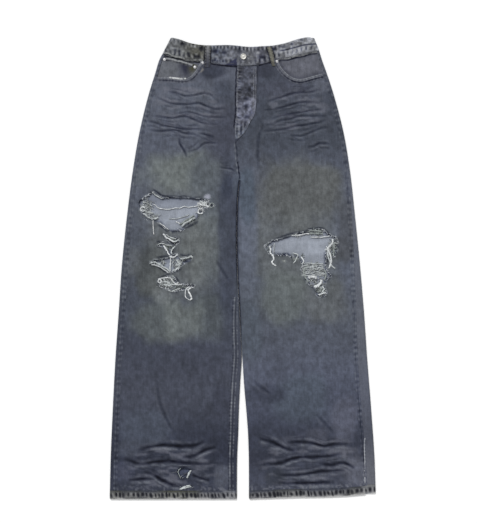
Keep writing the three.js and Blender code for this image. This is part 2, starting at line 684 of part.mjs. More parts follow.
// Frayed edge of a rip: a narrow strip inside the hole, with threads that reach over it
function fray(outline) {
  const area = THREE.ShapeUtils.area(outline.map(([x, y]) => new THREE.Vector2(x, y)));
  const turn = area > 0 ? 1 : -1;
  const core = inset(outline, STRIP_WIDTH);
  const mouth = toManifold(prism(inset(outline, SEAM_GAP + 0.1), STRIP_LOW, STRIP_HIGH));
  const strips = outline.map((point, index) => {
    const next = (index + 1) % outline.length;
    const quad = [point, outline[next], core[next], core[index]];
    return toManifold(prism(quad, STRIP_LOW - 1, STRIP_HIGH + 1));
  });
  let solid = strips.reduce((whole, strip) => whole.add(strip)).intersect(mouth);
  let travelled = THREAD_SPACING / 2;
  let count = 0;
  outline.forEach((point, index) => {
    const next = outline[(index + 1) % outline.length];
    const long = Math.hypot(next[0] - point[0], next[1] - point[1]);
    const way = [(next[0] - point[0]) / long, (next[1] - point[1]) / long];
    const inward = [-turn * way[1], turn * way[0]];
    for (; travelled < long; travelled += THREAD_SPACING) {
      count += 1;
      const reach = THREAD_REACH.middle + THREAD_REACH.spread * Math.sin(count * THREAD_REACH.turn);
      const lean = THREAD_LEAN.spread * Math.sin(count * THREAD_LEAN.turn);
      const root = [0, 1].map((axis) => point[axis] + way[axis] * travelled + inward[axis]);
      const tip = [0, 1].map((axis) => root[axis] + inward[axis] * reach + way[axis] * lean);
      const beyond = [0, 1].map((axis) => tip[axis] + THREAD_CLEAR * inward[axis]);
      if (!isInside(beyond, core)) continue;
      solid = solid.add(toManifold(thread([...root, THREAD_ROOT_HEIGHT], [...tip, THREAD_TIP_HEIGHT])));
    }
    travelled -= long;
  });
  return toGeometry(solid);
}

const RIGHT_CUTS = [
  scoopRegion(RIGHT_LEG, SCOOP_RIGHT), THIGH_RIP, SLIT_RIP, NOTCH_RIP, SHIN_RIP, LOWER_RIP, HEM_RIP, HEM_SLIT,
];
const LEFT_CUTS = [scoopRegion(LEFT_LEG, SCOOP_LEFT), KNEE_RIP];

add("back_right", backPanel(RIGHT_LEG), DENIM_INSIDE);
add("back_left", backPanel(LEFT_LEG), DENIM_INSIDE);
add("yoke_right", yoke(RIGHT_LEG), DENIM);
add("yoke_left", yoke(LEFT_LEG), DENIM);
add("back_pocket_right", backPocket(POCKET_RIGHT), DENIM);
add("back_pocket_left", backPocket(POCKET_LEFT), DENIM);
add("front_right", frontPanel(RIGHT_LEG, RIGHT_CUTS), DENIM);
add("front_left", frontPanel(LEFT_LEG, LEFT_CUTS), DENIM);
add("hem_front_right", frontHem(RIGHT_LEG), DENIM_WORN);
add("hem_front_left", frontHem(LEFT_LEG), DENIM_WORN);
add("hem_back_right", backHem(RIGHT_LEG), DENIM_WORN);
add("hem_back_left", backHem(LEFT_LEG), DENIM_WORN);
add("waistband_front_right", waistbandFront(RIGHT_LEG), DENIM_WORN);
add("waistband_front_left", waistbandFront(LEFT_LEG), DENIM_WORN);
add("waistband_back", waistbandBack(), DENIM_WORN);
add("pocket_facing_right", facing(RIGHT_LEG, SCOOP_RIGHT), DENIM);
add("pocket_facing_left", facing(LEFT_LEG, SCOOP_LEFT), DENIM);
add("coin_pocket", coinPocket(), DENIM);
add("fly_placket", flyPlacket(), DENIM);
add("loop_front_right", frontLoop(LOOP_RIGHT), DENIM_WORN);
add("loop_front_left", frontLoop(LOOP_LEFT), DENIM_WORN);
for (const [name, middle] of Object.entries(BACK_LOOPS)) add(name, backLoop(middle), DENIM_WORN);
add("waist_button", button(), METAL);
for (const [name, place] of Object.entries(RIVETS_ON_COIN)) {
  add(name, rivet(place, FACING_LOW + 2 * (CLOTH + LIFT)), METAL);
}
for (const [name, place] of Object.entries(RIVETS_ON_FRONT)) add(name, rivet(place, TOP + LIFT), METAL);
add("fray_thigh", fray(THIGH_RIP), THREAD);
add("fray_shin_upper", fray(SHIN_RIP), THREAD);
add("fray_shin_lower", fray(LOWER_RIP), THREAD);
add("fray_knee", fray(KNEE_RIP), THREAD);
add("fray_hem", fray(HEM_RIP), THREAD);

export default group;
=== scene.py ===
# Ripped wide-leg jeans lying on their back: cloth, sewing, frayed threads and hardware.
# Lengths are millimetres until a mesh is made; sides are the wearer's.
import math

import bpy
import numpy as np
from mathutils.bvhtree import BVHTree
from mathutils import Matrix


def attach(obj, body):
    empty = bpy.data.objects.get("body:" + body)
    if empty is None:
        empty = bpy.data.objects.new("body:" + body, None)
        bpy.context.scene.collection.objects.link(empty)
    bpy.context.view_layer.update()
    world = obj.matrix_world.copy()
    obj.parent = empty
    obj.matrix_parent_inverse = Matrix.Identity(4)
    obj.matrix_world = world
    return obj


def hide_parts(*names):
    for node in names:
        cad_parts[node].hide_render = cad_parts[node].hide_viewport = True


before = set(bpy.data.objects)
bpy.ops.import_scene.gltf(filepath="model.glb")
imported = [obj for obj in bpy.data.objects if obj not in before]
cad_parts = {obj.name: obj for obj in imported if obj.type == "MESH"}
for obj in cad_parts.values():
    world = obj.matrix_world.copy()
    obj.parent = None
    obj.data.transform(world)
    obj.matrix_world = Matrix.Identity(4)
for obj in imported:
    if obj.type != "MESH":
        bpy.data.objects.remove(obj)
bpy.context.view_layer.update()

MM = 0.001

# Photograph: size and middle of the garment in pixels, and millimetres for each pixel
PHOTO_SIZE = (477, 523)
PHOTO_MIDDLE = (242.75, 268.0)
PHOTO_PITCH = 2.4

# Cloth and seams, as in the solids
CLOTH = 1.2
SEAM_GAP = 0.3
LIFT = 0.3
FOLD_RADIUS = 2.2
TOP = 2 * FOLD_RADIUS
BAND_CLOTH = 2.4
BAND_RADIUS = 3.2
BAND_TOP = 2 * BAND_RADIUS
HEM_CLOTH = 2.2
HEM_RADIUS = 2.6
HEM_HEIGHT = 19.0
CROTCH = 211.0
HEM_RIGHT = -553.5
EDGE_SEAM = FOLD_RADIUS * math.pi / 2
FLAT_END = 6.0
FOLD_COLUMNS = 12
WRAP_COLUMNS = 18

# Light that reaches the cloth, so that a colour seen in the photograph gives the surface colour
LIGHT_GAIN = 1.15


def lerp(a, b, share):
    return a + (b - a) * share


def smooth(value, low, high):
    share = np.clip((value - low) / (high - low), 0, 1)
    return share * share * (3 - 2 * share)


def hump(value, width):
    """Bell that is 1 at zero and falls off over a width."""
    return np.exp(-((value / width) ** 2))


def unit(ways):
    return ways / np.maximum(np.linalg.norm(ways, axis=1, keepdims=True), 1e-9)


def travelled(line):
    """Length along a line up to each of its points."""
    return np.concatenate([[0], np.cumsum(np.linalg.norm(np.diff(line, axis=0), axis=1))])


def beside(line, offset):
    """Points left of a line by an offset."""
    way = unit(np.gradient(line, axis=0))
    return line[:, :1] - way[:, 1:] * offset, line[:, 1:] + way[:, :1] * offset


def through(pairs):
    """Smooth function through (at, value) pairs in rising order, level beyond both ends."""
    at, values = (np.array(column, float) for column in zip(*pairs))
    last = len(at) - 1

    def curve(where):
        where = np.clip(np.asarray(where, float), at[0], at[last])
        right = np.clip(np.searchsorted(at, where, side="right"), 1, last)
        left = right - 1
        before = np.where(left > 0, left - 1, right)
        after = np.where(right < last, right + 1, left)
        half = (at[right] - at[left]) / 2
        pull = half / (at[left] - at[before])
        push = half / (at[after] - at[right])
        p = (where - at[left]) / (2 * half)
        return (
            (-pull * p**3 + 2 * pull * p**2 - pull * p) * values[before]
            + ((1 + pull) * p**3 - (1.5 + 2 * pull) * p**2 + (pull - 0.5) * p + 1) * values[left]
            + (-(1 + push) * p**3 + (1.5 + push) * p**2 + 0.5 * p) * values[right]
            + (push * p**3 - push * p**2) * values[after]
        )

    return curve


# Outline of the laid-out garment, as in the solids
WAIST_TOP = through([
    (-172.5, 552.5), (-155, 549.5), (-127, 540), (-98, 535), (-26, 534.5), (17, 530.5), (46, 532),
    (75, 534), (104, 540), (133, 549.5), (158, 553.5), (171, 552),
])
WAIST_BOTTOM = through([
    (-196, 513), (-158, 504), (-120, 499), (-97, 497.5), (-75, 491.5), (-45, 487.5), (-13, 485.5),
    (37, 488), (60, 493), (83, 501), (121, 507), (168, 518.5), (184, 520),
])
WAIST_BACK = through([
    (-196, 514), (-158, 506.5), (-120, 501.5), (-3, 491), (100, 507), (150, 516.5), (184, 521.5),
])
CENTRE_FRONT = through([
    (CROTCH, -8), (311, -18), (339, -19), (367, -16.5), (439, -15), (487, -13), (530, -12),
])
CENTRE_BACK = through([(CROTCH, -8), (350, -5), (487, -3), (535, -2)])
RIGHT_LEG = {
    "side": -1,
    "outer": through([
        (-554, -319.5), (-451, -317), (-336, -312), (-221, -306), (-106, -298), (10, -290),
        (125, -278), (240, -263), (326, -248), (413, -227), (470, -209.5), (499, -200.5),
        (523, -188), (553, -172.5),
    ]),
    "inner": through([
        (-554, -14.5), (-451, -13.5), (-394, -11), (-336, -9.3), (-278, -6.5), (-206, -2.6),
        (-160, -5.2), (-100, -8.4), (15, -13.9), (170, -12.4), (CROTCH, -8.4),
    ]),
    "wrap": through([(-554, 11), (-300, 9), (70, 8), (240, 6), (500, 5)]),
    "inseam": through([
        (-554, 17), (-314, 19), (-120, 15), (-40, 7), (60, EDGE_SEAM), (CROTCH, EDGE_SEAM),
    ]),
    "hem": through([(-320, HEM_RIGHT), (0, HEM_RIGHT)]),
}
LEFT_LEG = {
    "side": 1,
    "outer": through([
        (-554, 319.5), (-451, 316), (-336, 308), (-221, 299), (-106, 291), (10, 281),
        (125, 269.5), (240, 256.5), (326, 242), (413, 219.5), (470, 201), (499, 190.5),
        (523, 183), (553, 171),
    ]),
    "inner": through([
        (-554, 15), (-451, 14.5), (-394, 12.5), (-336, 8), (-278, 3), (-206, -1.4),
        (-160, -4.3), (-100, -7.6), (15, -13.1), (170, -11.6), (CROTCH, -7.6),
    ]),
    "wrap": through([(-554, 22), (-270, 26), (-77, 20), (190, 8), (300, 5), (500, 5)]),
    "inseam": through([(-554, EDGE_SEAM), (CROTCH, EDGE_SEAM)]),
    "hem": through([(15, -553.5), (114, -550), (235, -547), (292, -542.5), (319, -539)]),
}
YOKE_MIDDLE = 420.0
YOKE_SIDE = 457.0
YOKE_SPAN = 210.0
UNDER_LIFT = 1.6
POCKET = {"top": 392.0, "bottom": 260.0, "point": 240.0, "half_top": 72.0, "half_bottom": 64.0}
POCKET_MIDDLES = {"right": -128.0, "left": 128.0}
LIFT_MARGIN = 10.0
LIFT_RAMP = 12.0

# Pocket mouths, fly, loops and hardware
SCOOP_RIGHT = [
    (-101, 499.5), (-102.6, 491), (-106.4, 486), (-110.5, 478), (-115.6, 470.6), (-122, 463),
    (-130, 457.5), (-140, 454.5), (-158, 455.5), (-174, 458), (-216, 459),
]
SCOOP_LEFT = [
    (86.5, 503), (87, 493), (93, 481), (106, 466.6), (122, 456.5), (140.5, 453.6), (163.6, 459.4),
    (185, 465), (207, 471),
]
SCOOP_OVERLAP = 10.0
SCOOP_CLEAR = 60.0
WELT_STOP = 9.0
FACING_LOW = CLOTH + 0.4
COIN_TOP = [(-205, 508.5), (-131, 493), (-105, 487)]
COIN_CLEAR = 1.2
FLY_WIDTH = through([(306, 4), (322, 19), (334, 28), (354, 37), (366, 43), (391, 47), (484, 49)])
FLY_TOP = 484.0
FLY_LOW = 306.0
FLY_STITCH = [(31, 482), (31, 434), (31, 391), (28, 366), (19, 354), (10, 334), (1, 322), (-14, 312)]
LOOP_CLOTH = 1.8
LOOPS_FRONT = {
    "right": {
        "top": (-83.2, 533), "bottom": (-85, 482.5), "width": 13.0,
        "tones": ((68, 70, 82), (122, 123, 125)),
    },
    "left": {
        "top": (63.3, 530), "bottom": (75.4, 485), "width": 11.0,
        "tones": ((104, 103, 94), (122, 121, 110)),
    },
}
LOOPS_BACK = {"right": -118.0, "middle": -2.0, "left": 112.0}
LOOP_BACK_WIDTH = 12.0
LOOP_BACK_CLOTH = 0.8
BUTTON_PLACE = (1.6, 507.0, BAND_TOP + LIFT)
RIVET_PLACES = {
    "rivet_coin_side": (-187.8, 500.5, 4.6),
    "rivet_coin_front": (-114.8, 482.0, 4.6),
    "rivet_pocket_right": (-96.8, 492.4, 4.7),
    "rivet_pocket_left": (82.4, 496.0, 4.7),
}

# Rips, as (x, y) round each hole
RIPS = {
    "thigh": [
        (-249, 160), (-236, 170), (-223, 178), (-216, 184), (-210, 177), (-192, 169), (-169, 170),
        (-150, 168), (-132, 169), (-111, 165), (-96, 167), (-81, 156), (-67, 150), (-83, 146),
        (-95, 143), (-94, 134), (-108, 129), (-108, 117), (-121, 111), (-137, 100), (-143, 90),
        (-160, 88), (-177, 88), (-189, 98), (-199, 109), (-208, 111), (-215, 118), (-227, 123),
        (-239, 129), (-246, 141),
    ],
    "slit": [(-190, 80), (-175, 76), (-153, 72), (-154, 61), (-161, 56), (-175, 61), (-184, 70)],
    "notch": [
        (-206, 60), (-192, 61), (-179, 55), (-161, 52), (-169, 41), (-173, 29), (-182, 38),
        (-190, 49), (-205, 53),
    ],
    "shin": [
        (-223, 13), (-214, 19), (-200, 19), (-180, 24), (-173, 28), (-158, 34), (-153, 24),
        (-136, 26), (-119, 31), (-123, 21), (-125, 17), (-141, 10), (-148, 5), (-152, -3),
        (-165, -7), (-173, -13), (-183, -5), (-195, 3), (-206, 8),
    ],
    "lower": [
        (-206, -31), (-201, -25), (-190, -23), (-170, -19), (-163, -26), (-154, -36), (-143, -39),
        (-129, -39), (-115, -41), (-118, -47), (-139, -52), (-154, -54), (-170, -57), (-180, -52),
        (-190, -47), (-201, -45), (-206, -37),
    ],
    "hem": [(-159, -487), (-141, -479), (-125, -482), (-128, -494), (-143, -505), (-154, -496)],
    "hem_slit": [
        (-152, -531), (-137, -528.5), (-122, -526), (-122, -521), (-137, -523.5), (-152, -526),
    ],
    "knee": [
        (51, 53), (71, 64), (91, 70), (115, 78), (131, 83), (149, 86), (160, 91), (176, 94),
        (191, 93), (204, 84), (225, 73), (229, 59), (229, 44), (221, 26), (200, 34), (199, 18),
        (199, -1), (212, -18), (200, -30), (197, -43), (202, -61), (197, -68), (180, -69),
        (174, -59), (173, -48), (158, -39), (149, -29), (148, -15), (140, -4), (144, 7), (137, 18),
        (131, 26), (117, 24), (111, 29), (96, 29), (80, 31), (67, 31), (58, 42),
    ],
}
RIPS_RIGHT = ["thigh", "slit", "notch", "shin", "lower", "hem", "hem_slit"]
RIPS_LEFT = ["knee"]

# Creases of the fronts, as pixels of the photograph
WHISKERS = [
    [(167, 91), (177, 93), (185, 96), (195, 95), (204, 93), (210, 94), (215, 99)],
    [(156, 97), (163, 100), (170, 103), (180, 104), (190, 104), (199, 103), (206, 106), (216, 109),
     (226, 108)],
    [(179, 113), (188, 112), (197, 114), (203, 116), (211, 117), (226, 117)],
    [(152, 116), (162, 117), (173, 118), (184, 116), (193, 119), (200, 122), (207, 124), (218, 124)],
    [(144, 121), (154, 122), (161, 125), (173, 127), (184, 129), (195, 129), (205, 130)],
    [(149, 130), (161, 131), (176, 130), (184, 133), (193, 134), (201, 137)],
    [(200, 133), (214, 137)],
    [(187, 152), (197, 149), (205, 143), (218, 143)],
    [(179, 137), (180, 144), (184, 150), (187, 158)], [(219, 167), (226, 168), (232, 169), (238, 173)],
    [(267, 102), (274, 99), (282, 97), (289, 94), (300, 92), (310, 92), (321, 89)],
    [(264, 110), (274, 109), (283, 107), (293, 104), (303, 102), (319, 102)],
    [(272, 119), (279, 116), (289, 114), (302, 112), (323, 109)],
    [(265, 125), (272, 124), (279, 121), (289, 119), (300, 116), (314, 116), (327, 116)],
    [(263, 131), (275, 130), (285, 129), (295, 126), (305, 125), (319, 122), (326, 120)],
    [(289, 135), (300, 136), (307, 134), (314, 131), (321, 128), (328, 127)],
    [(307, 147), (314, 146), (319, 143), (330, 144)],
]
ANKLE_CREASES = [
    [(138, 450), (154, 446), (167, 445), (181, 446), (196, 445), (205, 441)],
    [(182, 457), (194, 456), (203, 451), (216, 447)],
    [(124, 458), (140, 464), (154, 462), (169, 461), (186, 463), (203, 464), (213, 463)],
    [(144, 472), (154, 475), (162, 480), (173, 485), (184, 486)],
    [(128, 480), (142, 479), (152, 479)],
    [(192, 475), (200, 478), (210, 480)],
    [(259, 438), (272, 442), (285, 448), (295, 451)],
    [(286, 443), (301, 442), (312, 443), (324, 446), (333, 444), (348, 443)],
    [(262, 464), (280, 463), (291, 459), (303, 457), (316, 457), (329, 456), (343, 453)],
    [(319, 463), (331, 465), (344, 463), (355, 468)],
    [(280, 475), (297, 475), (312, 473), (322, 471), (345, 470)],
    [(278, 483), (307, 483), (335, 482)],
]
LONG_FOLDS = [
    [(258, 118), (263, 125), (260, 133), (258, 143), (258, 170)],
    [(216, 260), (230, 282)],
    [(157, 380), (159, 399), (167, 420), (177, 437)],
    [(253, 380), (262, 388), (272, 394)],
    [(316, 414), (324, 422), (334, 433)],
]

# Dye of the fronts down each leg: (y, red, green, blue) as seen
RIGHT_TONES = [
    (-553, 58, 62, 75), (-500, 51, 55, 69), (-430, 48, 52, 66), (-320, 69, 73, 86), (-200, 66, 70, 83),
    (-110, 70, 75, 87), (0, 78, 83, 93), (210, 84, 89, 101), (330, 85, 90, 103), (400, 83, 88, 100),
    (500, 90, 94, 107),
]
LEFT_TONES = [
    (-553, 69, 73, 87), (-500, 63, 67, 81), (-430, 55, 59, 73), (-280, 80, 85, 101), (-110, 83, 88, 99),
    (0, 90, 96, 109), (210, 84, 89, 102), (330, 68, 73, 84), (400, 69, 74, 86), (500, 70, 74, 86),
]

RIGHT_LEG.update(scoop=SCOOP_RIGHT, rips=RIPS_RIGHT, tones=RIGHT_TONES)
LEFT_LEG.update(scoop=SCOOP_LEFT, rips=RIPS_LEFT, tones=LEFT_TONES)
LEGS = {"right": RIGHT_LEG, "left": LEFT_LEG}

# Washes over the dye: middle and half size in pixels of the photograph, colour as seen, strength; two are
# painted shadow under the waistband
WASHES = [
    ((184, 172), (42, 21), (107, 113, 113), 0.95),
    ((208, 190), (20, 34), (84, 90, 98), 0.75),
    ((151, 270), (14, 32), (58, 62, 64), 0.8),
    ((134, 260), (8, 14), (92, 96, 101), 0.6),
    ((205, 245), (24, 40), (98, 104, 107), 0.8),
    ((176, 250), (34, 60), (106, 110, 110), 0.6),
    ((160, 318), (28, 22), (91, 97, 98), 0.75),
    ((205, 316), (22, 24), (80, 86, 90), 0.75),
    ((302, 193), (44, 36), (92, 95, 96), 0.95),
    ((300, 250), (46, 45), (97, 101, 103), 0.8),
    ((284, 296), (28, 26), (95, 101, 102), 0.85),
    ((324, 304), (24, 20), (96, 100, 103), 0.8),
    ((228, 236), (10, 92), (63, 68, 82), 0.8),
    ((249, 238), (8, 46), (97, 103, 117), 0.7),
    ((146, 428), (32, 18), (80, 87, 101), 0.65),
    ((344, 420), (14, 26), (90, 93, 108), 0.75),
    ((221, 400), (10, 16), (55, 58, 71), 0.6),
    ((300, 400), (30, 26), (77, 86, 98), 0.6),
    ((250, 330), (12, 30), (80, 89, 100), 0.5),
    ((222, 128), (16, 30), (67, 70, 83), 0.8),
    ((285, 90), (30, 10), (72, 75, 88), 0.7),
    ((247, 196), (8, 28), (74, 84, 97), 0.7),
    ((227, 186), (6, 13), (56, 62, 78), 0.6),
    ((237, 184), (5, 12), (84, 92, 106), 0.6),
    ((224, 91), (11, 14), (64, 69, 82), 0.6),
    ((266, 461), (14, 9), (47, 50, 63), 0.6),
    ((206, 468), (13, 11), (45, 49, 62), 0.7),
    ((150, 463), (18, 5), (46, 50, 64), 0.5),
    ((122, 471), (13, 10), (76, 80, 98), 0.6),
    ((350, 457), (14, 12), (82, 85, 98), 0.55),
    # The next two: painted shadow just under the waistband, either side of the fly
    ((215, 71), (14, 8), (55, 59, 72), 0.85),
    ((264, 71), (9, 7), (54, 57, 69), 0.7),
    ((183, 321), (20, 22), (108, 114, 114), 0.75),
    ((163, 296), (10, 9), (114, 119, 121), 0.6),
    ((357, 470), (14, 16), (98, 101, 114), 0.8),
    ((222, 477), (8, 12), (82, 86, 98), 0.8),
    ((346, 230), (10, 34), (76, 79, 86), 0.8),
    ((267, 393), (17, 10), (58, 62, 76), 0.8),
    ((128, 449), (15, 9), (74, 79, 92), 0.8),
    ((320, 85), (10, 8), (94, 98, 110), 0.8),
    ((275, 477), (10, 8), (48, 52, 62), 0.8),
    ((318, 435), (12, 8), (82, 85, 99), 0.7),
]

# Rubbed areas: middle and half size in pixels of the photograph
RUBBED = [
    ((188, 108), (40, 26)), ((297, 112), (38, 26)), ((172, 466), (54, 30)), ((305, 462), (54, 30)),
    ((182, 88), (24, 9)), ((168, 83), (18, 6)), ((330, 450), (30, 16)),
]

# Painted shade on the inner face behind each rip: darkest share, and the heights between which it darkens
SHADED_RIPS = {
    "thigh": (0.12, 136, 160), "slit": (0.1, 56, 80), "notch": (0.12, 28, 60), "shin": (0.16, -10, 30),
    "lower": (0.14, -56, -20), "hem": (0.5, -507, -503), "hem_slit": (0.1, -530, -521),
    "knee": (0.08, 14, 0),
}
WIDE_RIPS = ("thigh", "knee")

# Painted shadow lines under and along torn edges
RIP_SHADOW_LINES = [
    [(-243, 166), (-225, 177), (-212, 187), (-195, 174), (-177, 172), (-152, 170), (-141, 172),
     (-122, 168), (-97, 171)],
    [(-140, 95), (-122, 103), (-106, 112)], [(-172, 87), (-143, 90)], [(-204, 104), (-190, 96), (-180, 87)],
    [(-249, 158), (-244, 156)], [(-237, 128), (-222, 119), (-212, 115)],
    [(-184, 61), (-166, 58), (-152, 60)], [(-207, 64), (-196, 62), (-186, 62)], [(-206, 52), (-196, 50)],
    [(-187, 45), (-178, 32)], [(-170, 48), (-168, 38)],
    [(-208, 25), (-190, 27), (-176, 30)], [(-224, 8), (-205, 3), (-190, -7), (-176, -16)],
    [(-150, 16), (-126, 17)], [(-168, -11), (-152, -4), (-146, 2)], [(-152, 33), (-136, 29), (-122, 33)],
    [(-206, -29), (-190, -20), (-176, -17)], [(-204, -40), (-194, -46), (-184, -49)],
    [(-156, -51), (-140, -44), (-118, -39)], [(-162, -20), (-152, -33)], [(-172, -59), (-154, -57)],
    [(50, 55), (75, 68), (98, 76), (113, 82), (150, 88), (160, 94), (176, 97), (193, 95), (206, 84),
     (224, 76)],
    [(78, 32), (98, 30), (113, 31), (121, 27)], [(203, 36), (204, 16), (197, 8)], [(212, -17), (200, -34)],
    [(153, -35), (174, -49)], [(175, -69), (201, -65)], [(140, -2), (146, -16)], [(166, -34), (176, -33)],
    [(76, 34), (95, 33), (112, 34)], [(150, 8), (172, 6), (194, 7)], [(146, -1), (168, -3), (190, -2)],
    [(152, -11), (178, -12), (196, -10)],
    [(-160, -489), (-150, -499), (-141, -506)], [(-158, -486), (-141, -478), (-126, -481)],
]

# Pale tabs of cloth beside the rips: middle, half size, colour
PALE_TABS = [
    ((-85, 171), (9, 6), (156, 159, 172)), ((-218, 178), (5, 4), (150, 154, 160)),
    ((66, 44), (4, 5), (140, 146, 146)),
    ((127, 22), (9, 4), (128, 134, 132)), ((100, 17), (5, 3), (140, 145, 143)),
    ((-134, 24), (14, 3), (150, 155, 150)), ((-101, 476), (8, 6), (124, 122, 120)),
]

# Loose yarns in the rips: which rips a piece lines, with the spacing and reach of the short threads
FRAYED = {
    "fray_thigh": [("thigh", 1.9, 6.0)],
    "fray_shin_upper": [("slit", 2.2, 3.5), ("notch", 2.2, 3.5), ("shin", 2.0, 4.5)],
    "fray_shin_lower": [("lower", 1.8, 5.0)],
    "fray_knee": [("knee", 1.9, 5.5)],
    "fray_hem": [("hem", 20.0, 3.0), ("hem_slit", 12.0, 2.0)],
}
WHITE_YARN = (232, 236, 238)
PALE_YARN = (202, 208, 209)
GREEN_YARN = (158, 166, 164)
BLUE_YARN = (104, 108, 120)
